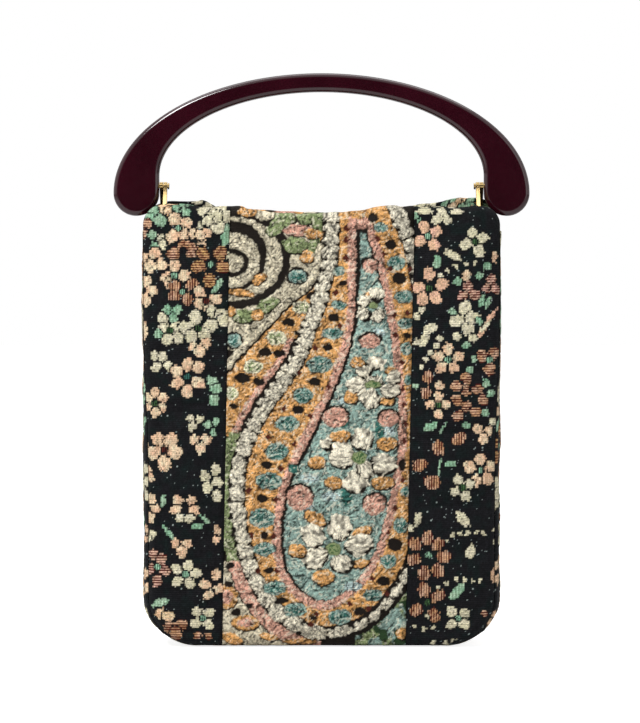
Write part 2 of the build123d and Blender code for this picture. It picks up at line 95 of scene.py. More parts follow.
# Gusset: how far its ends are turned in, how far down inside, and in what steps
GUSSET_TURN = 2.6
GUSSET_TUCK = 12.0
TUCK_STEP = 1.5
# Lining: height of its floor, its gap to the face's edge, the rounding of its floor, its folds
LINING_FLOOR = 4.0
LINING_GAP = 1.6
LINING_ROUND = 6.0
LINING_FOLD = 1.2

# Seams of the centre strip: X at the base and lean to the right on the way up
LEFT_SEAM = (-64.2, 5.5)
RIGHT_SEAM = (54.3, 5.5)

# The upper edge of each face, along X of the bag
FRONT_HEM = [
    (-116, 286), (-100, 286), (-70, 284), (-56, 284.6), (-40, 282), (-20, 279.6), (6, 280),
    (25, 281.5), (38, 284), (51, 284.7), (70, 283.6), (90, 284), (103, 285.5), (116, 286),
]
BACK_HEM = [
    (-116, 286.4), (-100, 287.4), (-76, 287.2), (-71, 284), (-64, 282), (-40, 281), (0, 279.5),
    (30, 280.6), (53, 283), (64, 285), (78, 287), (90, 288.8), (100, 289.4), (116, 289.5),
]

# The strips of a face, with the cells of simulated cloth across each, and the seed of each face
CLOTH_CELLS = {"left": 12, "centre": 28, "right": 14}
STRIPS = list(CLOTH_CELLS)
SEEDS = {"front": 100, "back": 200}
# Cloth simulation of a face: cells up the face, frames, the cap on its movement, how much larger
# the cloth is cut than the space it fills, and the settings, with the padding's pressure
CLOTH_ROWS = 66
CLOTH_FRAMES = 24
CLOTH_CAP = 3.4
CLOTH_SLACK = 0.022
CLOTH_SETTINGS = {
    "quality": 6, "mass": 0.3, "tension_stiffness": 15, "compression_stiffness": 15,
    "shear_stiffness": 5, "bending_stiffness": 0.3, "vertex_group_mass": "sewn",
    "shrink_min": -CLOTH_SLACK, "use_pressure": True, "uniform_pressure_force": 1.3,
}

# Mesh steps
SIDE_STEP = 0.5
CENTRE_STEP = 0.62
BACK_STEP = 0.9

# Colours as they look on screen, 0 to 255
COLOURS = {
    "ground": (19, 19, 22),
    "bottle": (15, 24, 24),
    "outline": (25, 18, 12),
    "cream": (232, 226, 194),
    "straw": (172, 164, 124),
    "peach": (232, 194, 164),
    "blush": (230, 182, 166),
    "mint": (150, 196, 164),
    "pale_mint": (190, 216, 188),
    "tan": (204, 158, 116),
    "rust": (84, 32, 24),
    "orange": (214, 160, 98),
    "honey": (226, 186, 120),
    "teal": (140, 166, 156),
    "pale_teal": (184, 202, 202),
    "deep_teal": (54, 104, 94),
    "pink": (208, 158, 138),
    "ivory": (202, 192, 166),
    "sage": (136, 150, 104),
    "leaf": (66, 100, 60),
    "maroon": (84, 36, 26),
    "white": (228, 220, 198),
    "speck": (150, 162, 158),
}

# Woven flowers: kind, petal radius, colour of the heart, petals as (x, z)
LEFT_FLOWERS = [
    ("cream", 5.0, None, [(-74, 281), (-66, 283), (-62, 278), (-67, 272), (-69, 278)]),
    ("cream", 3.6, None, [(-76, 272), (-73, 275)]),
    ("orange_rows", 3.6, None, [(-101, 283), (-97, 281)]),
    ("mint", 4.0, None, [(-108, 281), (-104, 275), (-111, 276)]),
    ("mint", 3.0, None, [(-93, 283), (-88, 285), (-87, 281)]),
    ("peach", 4.2, "mint", [(-94, 276), (-87, 273), (-89, 267), (-96, 265)]),
    ("peach", 3.4, None, [(-82, 267), (-74, 267), (-77, 262), (-78, 266)]),
    ("rust_rows", 3.2, None, [(-112, 273), (-114, 267)]),
    ("mint", 2.6, None, [(-109, 266)]),
    ("cream", 2.6, None, [(-103, 264), (-102, 260)]),
    ("cream", 2.4, None, [(-60, 253)]),
    ("peach", 4.2, None, [(-112, 251), (-107, 254), (-103, 247), (-110, 246)]),
    ("mint", 2.0, None, [(-107, 260)]),
    ("rust_rows", 4.6, "ground", [(-94, 254), (-88, 258), (-83, 256)]),
    ("rust_grid", 4.3, "mint", [(-76, 254), (-65, 254), (-79, 246), (-63, 245), (-72, 237)]),
    ("peach", 4.0, "mint", [(-94, 246), (-99, 239), (-88, 240), (-97, 235)]),
    ("rust_columns", 3.9, "mint", [(-94, 233), (-83, 234), (-94, 227), (-86, 225)]),
    ("peach", 3.8, None, [(-112, 236), (-109, 230), (-113, 224)]),
    ("peach", 3.8, "rust", [(-78, 229), (-78, 222), (-68, 225), (-72, 219)]),
    ("cream", 3.8, None, [(-70, 217), (-65, 215), (-63, 211)]),
    ("mint", 3.2, None, [(-99, 218), (-93, 218), (-95, 212)]),
    ("cream", 3.9, "leaf", [(-102, 212), (-101, 206), (-93, 207), (-92, 200), (-99, 199)]),
    ("mint", 2.8, None, [(-105, 203)]),
    ("cream", 4.4, "leaf", [(-81, 213), (-87, 207), (-71, 208), (-83, 201), (-75, 202)]),
    ("peach", 3.8, None, [(-81, 194), (-75, 196), (-78, 191)]),
    ("cream", 3.2, None, [(-107, 188), (-102, 188), (-106, 181), (-98, 182)]),
    ("peach", 4.0, "deep_teal",
     [(-86, 183), (-79, 181), (-79, 171), (-86, 166), (-93, 171), (-93, 179)]),
    ("mint", 3.5, None, [(-70, 172), (-68, 167), (-69, 160)]),
    ("peach", 3.3, "leaf",
     [(-107, 164), (-102, 161), (-103, 155), (-107, 152), (-112, 156), (-112, 161)]),
    ("cream", 2.7, None, [(-84, 148), (-83, 143), (-78, 148)]),
    ("mint", 2.4, None, [(-73, 144), (-70, 139), (-68, 146)]),
    ("peach", 3.7, None, [(-81, 134), (-75, 134), (-78, 129)]),
    ("peach", 4.9, "rust", [(-105, 134), (-97, 134), (-108, 126), (-94, 127), (-101, 119)]),
    ("cream", 3.5, None, [(-68, 115), (-75, 111), (-73, 104), (-67, 107), (-67, 98)]),
    ("peach", 2.6, None, [(-114, 130), (-112, 115), (-110, 110)]),
    ("peach", 3.4, "ground", [(-92, 95), (-84, 95), (-94, 89), (-82, 89)]),
    ("cream", 3.0, None, [(-91, 84), (-85, 84)]),
    ("peach", 3.0, None, [(-109, 96), (-107, 90), (-110, 84)]),
    ("cream", 2.6, None, [(-109, 73), (-112, 70)]),
    ("peach", 3.8, None, [(-93, 67), (-87, 67), (-90, 62)]),
    ("cream", 3.5, "mint", [(-93, 51), (-93, 43), (-86, 53), (-81, 48), (-85, 42)]),
    ("peach", 3.4, None, [(-68, 47), (-75, 41), (-73, 34), (-66, 38)]),
    ("peach_grid", 3.6, "mint", [(-108, 60), (-103, 57), (-110, 51), (-101, 50), (-106, 43)]),
    ("peach", 2.8, None, [(-68, 70), (-67, 76)]),
    ("orange_rows", 4.0, None, [(-103, 22), (-99, 20)]),
    ("rust_rows", 4.4, None, [(-97, 13), (-91, 14), (-94, 9)]),
    ("cream", 3.6, "mint", [(-80, 23), (-73, 22), (-81, 16), (-73, 15)]),
    ("rust_rows", 2.4, None, [(-73, 7), (-80, 8)]),
]
RIGHT_FLOWERS = [
    ("cream", 3.2, None, [(77, 280), (80, 276), (74, 276)]),
    ("mint", 2.4, None, [(60, 278), (63, 274)]),
    ("peach_columns", 3.9, "mint", [(66, 271), (73, 268), (63, 262), (72, 260)]),
    ("cream", 3.9, "leaf", [(97, 267), (103, 264), (93, 260), (101, 256)]),
    ("cream", 1.4, None, [(76, 240), (81, 243), (86, 246), (93, 247), (98, 248)]),
    ("mint", 2.6, None, [(87, 236), (101, 240), (106, 246)]),
    ("peach_columns", 4.1, "leaf", [(69, 241), (77, 234), (62, 232), (65, 225), (73, 226)]),
    ("peach_grid", 3.6, None, [(94, 232), (91, 227), (98, 228)]),
    ("peach_grid", 3.4, None, [(109, 237), (107, 232), (112, 231)]),
    ("cream", 4.6, None, [(92, 219), (87, 211), (94, 206), (97, 213)]),
    ("mint", 2.4, None, [(84, 217), (101, 211)]),
    ("cream", 2.8, None, [(87, 201), (97, 200)]),
    ("mint", 2.2, None, [(93, 195)]),
    ("cream", 2.2, None, [(76, 200), (61, 197), (64, 218), (61, 214)]),
    ("peach", 3.7, "mint", [(81, 193), (88, 188), (85, 181), (77, 181), (75, 188)]),
    ("cream", 1.6, None, [(74, 195), (70, 191), (67, 186), (64, 181)]),
    ("mint", 2.4, None, [(98, 187), (95, 179)]),
    ("rust_rows", 4.2, "mint", [(111, 190), (104, 188), (108, 180)]),
    ("rust_columns", 3.6, None, [(68, 175), (67, 165)]),
    ("mint", 2.0, None, [(61, 169)]),
    ("peach", 2.8, None, [(76, 169)]),
    ("peach", 3.1, "leaf", [(75, 162), (70, 157), (80, 157), (75, 151)]),
    ("rust_rows", 3.7, None, [(87, 169), (93, 174), (94, 166), (100, 167), (104, 160)]),
    ("rust_rows", 3.6, None, [(87, 160), (93, 156), (99, 153), (88, 150)]),
    ("mint", 2.6, None, [(105, 152), (109, 164), (106, 171)]),
    ("cream", 2.4, None, [(110, 146)]),
    ("mint", 2.4, None, [(93, 144), (99, 143)]),
    ("rust_columns", 4.4, None, [(88, 135), (75, 129), (63, 118)]),
    ("rust_columns", 5.2, None, [(71, 107)]),
    ("peach", 3.3, None, [(101, 141), (107, 140), (104, 135)]),
    ("peach", 3.9, "mint", [(102, 122), (95, 117), (109, 117), (107, 109), (99, 108)]),
    ("cream", 3.3, "leaf", [(88, 109), (86, 101), (95, 106), (93, 98)]),
    ("cream", 2.0, None, [(57, 77)]),
    ("cream", 1.5, None, [(80, 69), (84, 73), (89, 74), (94, 74), (100, 75), (104, 74)]),
    ("rust_columns", 4.4, "mint",
     [(68, 71), (60, 67), (59, 57), (66, 48), (75, 50), (79, 59), (75, 67)]),
    ("cream", 1.5, None, [(75, 39), (80, 42), (87, 44), (92, 44), (97, 43), (102, 43)]),
    ("rust_columns", 4.4, "leaf", [(66, 37), (75, 33), (61, 24), (72, 21)]),
    ("cream", 3.6, "mint", [(84, 23), (92, 22), (84, 15), (92, 15)]),
    ("cream", 1.4, None, [(60, 14), (66, 12), (72, 13), (68, 20), (85, 5), (80, 3), (72, 3)]),
    ("cream", 1.8, None, [(112, 76), (112, 68), (113, 90), (113, 100)]),
    ("rust_rows", 1.8, None, [(105, 22)]),
]

# Woven leaves: kind, x, z, half length, half width, turn in degrees
LEFT_LEAVES = [
    ("mint", -62, 267, 9, 3.0, 90), ("mint", -67, 233, 6, 2.2, 60),
    ("peach", -114, 204, 6, 2.2, 90), ("white", -114, 154, 5, 1.6, 85),
    ("mint", -75, 83, 5, 1.5, -45), ("mint", -80, 79, 4, 2.0, 0),
    ("mint", -102, 95, 4, 2.0, 70), ("mint", -98, 74, 6, 1.4, -50),
    ("mint", -104, 29, 6, 2.6, 20),
]
RIGHT_LEAVES = [
    ("cream", 66, 281, 6, 1.8, 0), ("cream", 87, 281, 5, 1.6, 0), ("mint", 74, 249, 4.5, 2.6, 80),
    ("cream", 84, 253, 6, 2.2, -30), ("peach", 93, 240, 4, 2.6, 90),
    ("peach", 111, 252, 4, 1.6, 90), ("mint", 103, 224, 5, 1.8, 75), ("mint", 107, 223, 4, 1.5, 75),
    ("peach_columns", 103, 204, 6, 1.7, 55), ("cream", 106, 209, 7, 1.6, 55),
    ("peach_columns", 109, 214, 6, 1.5, 50), ("cream", 70, 206, 5, 3.0, 20),
    ("cream", 66, 199, 5, 2.6, 70), ("mint", 70, 143, 5, 2.5, 20), ("mint", 78, 142, 4, 1.0, 60),
    ("mint", 76, 118, 5, 1.0, 80), ("mint", 83, 119, 4, 2.2, 10), ("cream", 62, 83, 5, 2.2, 80),
    ("cream", 91, 83, 6, 3.0, -50), ("cream", 96, 62, 5, 2.8, 80), ("mint", 87, 36, 6.5, 2.8, 50),
    ("peach", 111, 47, 5, 2.0, 90),
]

# Thread colours of each kind of figure: the main thread, the thread that crosses it, the pitch
# of the crossing rows and columns, and the thread that it drifts to
KINDS = {
    "cream": ("cream", "straw", 1.6, 0, "white"),
    "white": ("white", "cream", 0, 0, "cream"),
    "peach": ("peach", "tan", 0, 1.4, "cream"),
    "mint": ("mint", "leaf", 0, 2.0, "pale_mint"),
    "orange_rows": ("cream", "orange", 1.6, 0, "peach"),
    "rust_rows": ("tan", "rust", 1.6, 0, "peach"),
    "rust_columns": ("tan", "rust", 0, 1.6, "peach"),
    "rust_grid": ("tan", "rust", 1.6, 0, "honey"),
    "peach_columns": ("peach", "tan", 0, 1.4, "blush"),
    "peach_grid": ("peach", "rust", 1.6, 0, "blush"),
}

# Teardrop of the centre strip: x, z and the distance out to the middle of the rope round it
TEARDROP = [
    (23.4, 288, 18), (22, 256, 16), (22, 232, 21), (20, 204, 27.5), (12, 177, 29), (1, 152, 33.5),
    (-11, 128, 36), (-20.5, 107, 34), (-25.5, 82, 28), (-25, 57, 21.5), (-16, 39, 19.5),
    (0, 30.5, 21), (14, 36, 24), (28, 51, 25), (37.5, 72, 25.5), (44, 100, 24.5), (49, 128, 22.5),
    (49, 158, 22), (45.5, 190, 22), (41, 220, 23.5), (35, 248, 25), (29, 268, 23), (24.6, 288, 20),
]
FIELD_LINE = 0.4
LEFT_LINE = 1.5
PINK_EDGE = 5.4
ROPE_HALF = 4.0
ROPE_LOBE = 7.4
ROPE_THIN = 0.5
ROPE_TONE = 0.86
SCALLOP_GAP = 1.3

# Medallions and spots on the orange band: x, z, half width, half height
MEDALLIONS = [
    (11, 243, 4, 3), (11, 221, 5, 3), (7, 203, 6.5, 3.4), (-1, 183, 8.5, 5.2), (-12, 163, 6.5, 5),
    (-22, 145, 8, 5), (-29, 127, 7.5, 5.6), (-34, 108, 8.5, 5.6), (-38, 84, 8.2, 6),
    (-37, 64, 7.4, 4.4), (-30, 39, 7.6, 4.8), (-17, 25, 7.4, 4.6), (12, 20, 7.4, 5), (33, 34, 6, 4),
    (43, 56, 5.2, 4.4), (51, 79, 5, 4.8), (56, 173, 3, 3), (55, 193, 4.4, 4), (54, 209, 5.4, 3.4),
    (53, 226, 6.4, 3.8), (48, 248, 6, 4.2), (38, 271, 4.4, 2.8), (54, 101, 2.6, 3),
]
SPOTS = [
    (4, 194, 3, 2.3), (-5, 172, 4, 2.6), (-15, 154, 4, 2.6), (-35, 118, 4, 2.4), (-38, 97, 4, 2.7),
    (-37, 73, 2.8, 2.8), (-34, 50, 3, 2.4), (-25, 31, 3.4, 1.7), (25, 24, 3.8, 2.6),
    (40, 43, 4.4, 3.2), (47, 67, 4.8, 4.2), (33, 277, 3.4, 2.6), (44, 260, 4, 3),
    (50, 238, 4.8, 3.8), (55, 201, 2.8, 1.8), (8, 213, 4, 2.4), (14, 235, 3, 2),
    (52, 118, 2.6, 3.4), (-5, 19, 2.2, 1.6),
]
CROSSES = [
    (-4, 194), (12, 208), (-14, 178), (4, 169), (-24, 155), (-7, 150), (-26, 116), (-17, 132),
    (-47, 102), (-29, 96), (-45, 73), (-31, 72), (-41, 50), (-29, 50), (-34, 136), (-3, 22),
    (-7, 15), (18, 28), (30, 26), (33, 45), (42, 35), (43, 74), (47, 90), (52, 108), (53, 134),
    (54, 144), (53, 157), (52, 167), (47, 215), (55, 216), (40, 254), (57, 244), (36, 264),
    (16, 251), (16, 263), (52, 184), (58, 233), (44, 244), (47, 202), (9, 229), (16, 270),
    (28, 283),
]
# Half width and half height of the two bars of a cross
CROSS_BARS = ((2.1, 1.1), (1.1, 2.2))

# Figures of the teardrop field: x, z, half width, half height, turn in degrees
ROUNDELS = [
    (31, 246, 5, 4.4), (31, 198, 6.4, 4.8), (9, 149, 8, 6.4), (43, 148, 6.4, 5.2),
    (-14, 97, 8.6, 8), (34, 93, 7.4, 6.8),
]
FIELD_PETALS = [
    (35, 228, 4, 4, 0), (27, 224, 4, 3, 30), (27, 216, 5, 4, -30), (36, 215, 4.4, 4, 30),
    (34, 184, 5.6, 4.6, 0), (23, 171, 6.6, 5, 20), (46, 175, 4.4, 4.6, 0), (27, 179, 5, 4, 0),
    (44, 166, 6, 4.4, 0), (31, 161, 6.6, 5.6, 0), (34, 172, 5, 4, 0),
    (26, 135, 7, 6.4, 0), (13, 125, 8, 8.6, 0), (39, 119, 8.4, 7, 0), (22, 108, 8, 7, 20),
    (3, 132, 3.6, 3.6, 0), (28, 116, 5, 6, 60),
    (11, 78, 7.4, 8, 0), (-6, 73, 7.6, 6.6, -30), (24, 67, 9, 6.4, 10), (13, 55, 7.4, 6, 0),
    (-4, 59, 8, 6.4, 40),
]
FIELD_HEARTS = [(33, 221, 3, 2), (33, 170, 5.4, 2.6), (24, 123, 4.6, 4), (8, 64, 4.6, 3.6)]
FIELD_ORANGES = [
    (30, 227, 2.6, 2.4, 0), (23, 184, 4.4, 3.6, 0), (19, 162, 4.6, 4, 0), (42, 160, 4.8, 2.8, 0),
    (44, 179, 3.4, 2.6, 0), (12, 137, 6.6, 3.8, 0), (42, 132, 6.8, 4, 0), (-3, 120, 5.6, 4, 0),
    (8, 107, 5.6, 4, 0), (39, 107, 7.4, 3.8, 0), (-4, 84, 7.4, 4, -30), (26, 75, 6.6, 3.4, 15),
    (-15, 63, 6.4, 4, -10), (1, 46, 6.8, 5.2, 0), (25, 55, 6, 2.6, 15),
]
FIELD_LEAVES = [(37, 141, 3, 6, 0), (16, 98, 3.6, 6.6, 0), (-18, 116, 3, 4, 60), (14, 146, 3, 4, 0)]

# Ornament in the upper left of the strip
ROUNDEL_RINGS = [
    ("outline", -57, 251.5, 37, 33), ("ivory", -57, 250.6, 32, 27),
    ("outline", -57, 252.5, 22.2, 22.6), ("ivory", -57, 250, 17.4, 17.6),
    ("outline", -57, 248, 10.4, 9), ("ivory", -57, 248, 7, 5.8),
]
SAGE_FIGURES = [
    (-25, 276, 8, 5, 10), (-10, 279, 6, 6, 0), (-2, 276, 4.4, 8, 0), (-30, 270, 6, 4, 20),
    (-17, 260, 8, 5.4, 0), (-3, 260, 5.4, 8, -10), (-35, 221, 8, 4, 25), (-50, 214, 7, 4.6, 0),
]
TOP_FIGURES = [
    ("orange", -47, 281, 7, 3, 0), ("pink", -15, 269, 9, 3.6, 0), ("orange", -5, 267, 6, 3, 0),
    ("orange", -9, 252, 5, 4, 0), ("orange", -40, 238, 5, 3, 30), ("orange", -52, 229, 9, 2.2, -6),
    ("orange", -41, 215, 4, 3.6, 30), ("orange", -58, 217, 3, 3, 0),
    ("ivory", -36, 279, 6, 4, 0),
]
DARK_RINGED = [(-15.4, 239.6, 5.8, 4.2), (-56.5, 198.4, 4.6, 4.2)]
SECOND_ROPE = [
    (-1, 258), (-2.2, 248.3), (-4, 241), (-9.1, 234), (-16.7, 227.6), (-26, 220), (-33.6, 210.7),
    (-41, 203), (-49, 195.4), (-57, 186.5), (-66, 176), (-74, 166),
]
SECOND_ROPE_HALF = 2.5
SECOND_PINK = (7.4, 11.4)
SECOND_PINK_TOP = 200.0
SECOND_FOOT = 136.0
# Gaps of the second border's dark edge and of its orange to the middle of the rope
SECOND_GAPS = (4.4, 5.4)
FIELD_TOP = 267.0
PINK_TOP = 277.0
SECOND_MEDALLIONS = [
    (-13, 219.5, 5.8, 4.2), (-29, 200, 6.6, 4.8), (-44, 181.5, 6.2, 4.6), (-58, 164.5, 4.6, 4.2),
]
SECOND_SPOTS = [
    (-21, 210, 4.2, 2.6), (-36, 191, 4.4, 2.6), (-51, 174, 5, 3.2), (-7, 227, 3, 2.6),
    (-14, 203, 4, 2), (-27, 190, 4, 2), (-40, 172, 4.4, 2.2), (-56, 156, 3, 2),
]

# How soft the edge of a painted figure is
EDGE_BLUR = 0.5
# Weave of the floral cloth: width and height of a woven cell, and the pitch of its ribs
CELL = (0.9, 1.15)
RIB_PITCH = 1.3
# Threads: over what length their colour drifts, and what part of a pitch a crossing thread takes
DRIFT_SIZE = 3.4
ROW_SHARE, COLUMN_SHARE = 0.48, 0.5
# Petals: length and width against their radius, their relief, and the ground round them
PETAL_LENGTH, PETAL_WIDTH = 1.06, 0.88
PETAL_RELIEF = 0.42
GROUND_EDGE = 0.7
# Values of a stitch above which it is dark, and of a cell above which it is a pale speck
DARK_STITCH = 0.95
PALE_SPECK = 0.9935
# Embossing of the paisley cloth: how far its figures are bent and over what length, the sizes of
# a lump and of the grain, how many times longer than wide a stroke is, and the size of a patch in
# which the strokes keep their direction
BEND, BEND_SIZE = 2.4, 2.2
LUMP_SIZE = 2.7
GRAIN_SIZE = 0.9
STROKE_LENGTH = 5.0
STROKE_PATCH = 4.5
# Waver of the drawn lines across and up: reach, length and seed of its two parts
WANDER = (((1.2, 3.2, 1), (1.1, 1.4, 3)), ((1.2, 3.2, 2), (1.1, 1.4, 4)))
# Colours whose parts sum to more than this are lit threads; figures this high are fully plump
LIT_LEVEL = 0.25
PLUMP_HEIGHT = 1.7
# Limits of strokes and cells beyond which a thread gets painted shade in a stroke's trough or is a
# dark fleck, and beyond which it gets a painted highlight
SHADE_AND_DARK_FLECK = (0.17, 0.93)
PAINTED_HIGHLIGHT = (0.77, 0.05)
# Direction of the strokes in degrees, for each range of the patches' noise
STROKE_TURNS = ((8, -1.0, 0.36), (-52, 0.36, 0.5), (95, 0.5, 0.64), (48, 0.64, 2.0))

# Smooth patches of pale thread in the field: x, z, half width, half height
SMOOTH_PATCHES = [
    (43.8, 140, 4, 3.4), (-7.5, 109.6, 6, 3), (-10, 92, 5, 3.4), (6, 98, 6, 3), (20, 40, 6, 3),
    (-4, 66, 3, 3), (36, 203, 4, 3), (14, 160, 4, 3),
]
# Evens out what the painted shade of the crumples and the mottling take away
TONE_LIFT = 1.22

# Ornament in the lower corners
ROSETTES = [(-62, 33, 8, 8), (-49, 16, 9, 5)]
CORNER_SPOTS = [(-55, 23, 3.4, 2.6), (-47, 27, 2.4, 2), (-60, 41, 2.6, 2), (-59, 53, 3, 2)]
CORNER_ORANGES = [
    (-58, 6, 8, 3.4, -20), (-34, 7, 6, 2.4, -8), (52, 9, 4, 3.6, 0), (-14, 4, 10, 2, 0),
]
SAGE_BAND = (5.8, 13.0)
SAGE_HALF = 4.6
SAGE_PITCH = 9.0
SAGE_FOOT = 52.0
PINK_BAND = (5.4, 13.4)
PINK_BAND_TOP = 56.0
# The leafy corner: left end, top and gap to the rope, and its patches of thread as colour, size,
# seed, level and slope
LEAFY_CORNER = (22.0, 66.0, 5.6)
LEAFY_PATCHES = (("teal", 5.0, 3, 0.42, 9), ("sage", 4.0, 8, 0.66, 8))

# Handle: width of its legs, height of the grip, rounding of its edges, and how far the inner
# arch starts above the middle of the round ends
HANDLE_LEG = 29.5
GRIP_HEIGHT = 12.2
HANDLE_ROUND = 3.2
INNER_ARCH_LIFT = 11.0

# Looks: roughness, sheen, size of a thread, pitch of the ribs and depth of the bumps in metres
FLORAL_LOOK = (0.88, 0.02, 0.0009, 0.0012, 0.00035)
PAISLEY_LOOK = (0.60, 0.03, 0.0010, 0.0010, 0.0006)
# Pitch of the warp against that of the ribs
WARP_SHARE = 0.7
LINING_TONES = ((0.012, 0.010, 0.010), (0.040, 0.034, 0.034))
RESIN_TONES = ((0.020, 0.0018, 0.0048), (0.030, 0.0028, 0.0072))
GOLD_TONES = ((0.62, 0.42, 0.16), (0.86, 0.64, 0.30))
FLOOR_TONE = 0.85

# Camera and light
CAMERA_TARGET = (-0.001, -0.03, 0.1848)
FIELD_WIDTH = 0.411
CAMERA_DISTANCE = 2.6
CAMERA_ELEVATION = 3.0
SENSOR_WIDTH = 36.0
AMBIENT = 0.3
FLOOR_LIFT = 0.85
FLOOR_REACH = 4000.0
FLOOR_DROP = 0.5
# The studio is white all round in reflections, but for the dark room before and behind the object
DARK_FRONT = (0.93, 0.6)
# Lamps: name, place and size in metres, energy; each is aimed at the middle of the bag
LAMPS = [
    ("key", (-0.9, -1.1, 1.7), (0.6, 0.6), 36.0), ("fill", (1.3, -1.2, 0.6), (1.0, 1.4), 4.0),
    ("top", (0.0, 0.3, 1.5), (1.6, 0.8), 8.0),
]
LAMP_AIM = (0, 0, 0.18)


def linear(colour):
    """Screen values 0 to 255 as the linear values that a shader takes."""
    value = np.asarray(colour, float) / 255
    return np.where(value <= 0.04045, value / 12.92, ((value + 0.055) / 1.055) ** 2.4)


LINEAR = {name: linear(value) for name, value in COLOURS.items()}


def scatter(ix, iz, seed):
    """A repeatable value from 0 to 1 for each pair of whole numbers."""
    h = ix.astype(np.int64) * 374761393 + iz.astype(np.int64) * 668265263 + seed * 144269
    h = (h ^ (h >> 13)) * 1274126177
    h = h ^ (h >> 16)
    return (h & 0xFFFF) / 65535.0


def mixed(first, second, share):
    """One colour laid over another by a share from 0 to 1 at each point."""
    return first + (second - first) * np.clip(share, 0, 1)[:, None]


def cells(x, z, width, height, seed):
    """One value for each woven cell."""
    return scatter(np.floor(x / width), np.floor(z / height), seed)


def smooth(value):
    """Eases a share from 0 to 1."""
    value = np.clip(value, 0, 1)
    return value * value * (3 - 2 * value)


def blended(corners, share_x, share_z):
    """The value inside a cell with the values of its two lower and two upper corners."""
    low = corners[0] * (1 - share_x) + corners[1] * share_x
    high = corners[2] * (1 - share_x) + corners[3] * share_x
    return low * (1 - share_z) + high * share_z


def turned(x, z, degrees):
    """Places along and across a direction."""
    cosine, sine = math.cos(math.radians(degrees)), math.sin(math.radians(degrees))
    return x * cosine + z * sine, z * cosine - x * sine


def ways_along(points):
    """The way along a line to each of its points."""
    return np.concatenate([[0], np.cumsum(np.hypot(*np.diff(points, axis=0).T))])


def evened(values, count):
    """Values evened out over a count of neighbours."""
    kernel = np.hanning(count)
    return np.convolve(np.pad(values, count // 2, mode="edge"), kernel / kernel.sum(), mode="valid")


def least(*values):
    """The smallest of several distances at each point."""
    return np.minimum.reduce(np.broadcast_arrays(*values))


def noise(x, z, size, seed):
    """Smooth noise from 0 to 1 with features of a size."""
    u, v = x / size, z / size
    iu, iv = np.floor(u), np.floor(v)
    corners = [scatter(iu + du, iv + dv, seed) for dv in (0, 1) for du in (0, 1)]
    return blended(corners, smooth(u - iu), smooth(v - iv))


def crumple(x, z, size, seed):
    """Rounded lumps with creases between them: 0 in a crease, 1 on a lump."""
    u, v = x / size, z / size
    iu, iv = np.floor(u), np.floor(v)
    nearest = np.full(len(x), 9.0)
    second = nearest.copy()
    for du in (-1, 0, 1):
        for dv in (-1, 0, 1):
            to_x = iu + du + scatter(iu + du, iv + dv, seed) - u
            to_z = iv + dv + scatter(iu + du, iv + dv, seed + 1) - v
            gap = np.hypot(to_x, to_z)
            second = np.minimum(second, np.maximum(nearest, gap))
            nearest = np.minimum(nearest, gap)
    return smooth((second - nearest) / 0.5)


class Print:
    """The colour and height of woven cloth at many points."""

    def __init__(self, x, z, ground):
        self.x = x
        self.z = z
        self.colour = np.tile(LINEAR[ground], (len(x), 1))
        self.height = np.zeros(len(x))

    def paint(self, inside, colour, bulge=0.0, rim=2.0, at=slice(None)):
        """Lays a colour where inside, a distance in from the figure's edge, is positive."""
        colour = LINEAR[colour] if isinstance(colour, str) else colour
        share = np.clip(inside / EDGE_BLUR + 0.5, 0, 1)
        self.colour[at] += (colour - self.colour[at]) * share[:, None]
        depth = np.clip(inside / rim, 0, 1)
        raised = bulge * np.sqrt(depth * (2 - depth))
        self.height[at] += (raised - self.height[at]) * share

    def cells(self, at, width, height, seed):
        """One value for each woven cell at some of the points."""
        return cells(self.x[at], self.z[at], width, height, seed)

    def ellipse(self, x, z, half_width, half_height, turn, reach):
        """Points near an ellipse and their distance in from its edge."""
        reach += max(half_width, half_height)
        at = np.flatnonzero((np.abs(self.x - x) < reach) & (np.abs(self.z - z) < reach))
        along, across = turned(self.x[at] - x, self.z[at] - z, turn)
        inside = 1 - np.hypot(along / half_width, across / half_height)
        return at, inside * min(half_width, half_height)


def thread(kind, x, z):
    """The colour of the threads of a kind of figure."""
    first, second, row, column, drift = KINDS[kind]
    tone = mixed(LINEAR[first], LINEAR[drift], 1.3 * noise(x, z, DRIFT_SIZE, 81) - 0.25)
    share = 0.3 * cells(x, z, CELL[0], 0.6, 5)
    strength = 1.0 if second == "rust" else 0.5
    if row:
        share = np.where(np.mod(z, row) < row * ROW_SHARE, strength, share)
    if column:
        share = np.where(np.mod(x, column) < column * COLUMN_SHARE, strength, share)
    return mixed(tone, LINEAR[second], share)


def woven(x, z):
    """Points moved to the middles of woven cells, so that figures have stepped edges."""
    width, height = CELL
    return (np.floor(x / width) + 0.5) * width, (np.floor(z / height) + 0.5) * height


def paint_flower(cloth, fine, kind, radius, heart, petals):
    """A flower of stepped petals on the ground, with strands of another thread at its heart."""
    centre_x, centre_z = (sum(places) / len(petals) for places in zip(*petals))
    for x, z in petals:
        turn = math.degrees(math.atan2(z - centre_z, x - centre_x)) if len(petals) > 1 else 0
        at, inside = cloth.ellipse(x, z, radius * PETAL_LENGTH, radius * PETAL_WIDTH, turn, 3)
        inside = inside + 1.2 * (cloth.cells(at, 2 * CELL[0], CELL[1], 9) - 0.42)
        cloth.paint(inside + GROUND_EDGE, "ground", 0.0, at=at)
        cloth.paint(inside, thread(kind, fine[0][at], fine[1][at]), PETAL_RELIEF, 1.2, at=at)
    if heart:
        size = 2.0 if radius > 3 else 1.5
        at, inside = cloth.ellipse(centre_x, centre_z, size, size, 0, 2)
        cloth.paint(inside + GROUND_EDGE, "ground", 0.1, at=at)
        strands = np.mod(fine[0][at], RIB_PITCH) < 0.7
        cloth.paint(np.where(strands, inside, -1), heart, 0.35, 1.0, at=at)


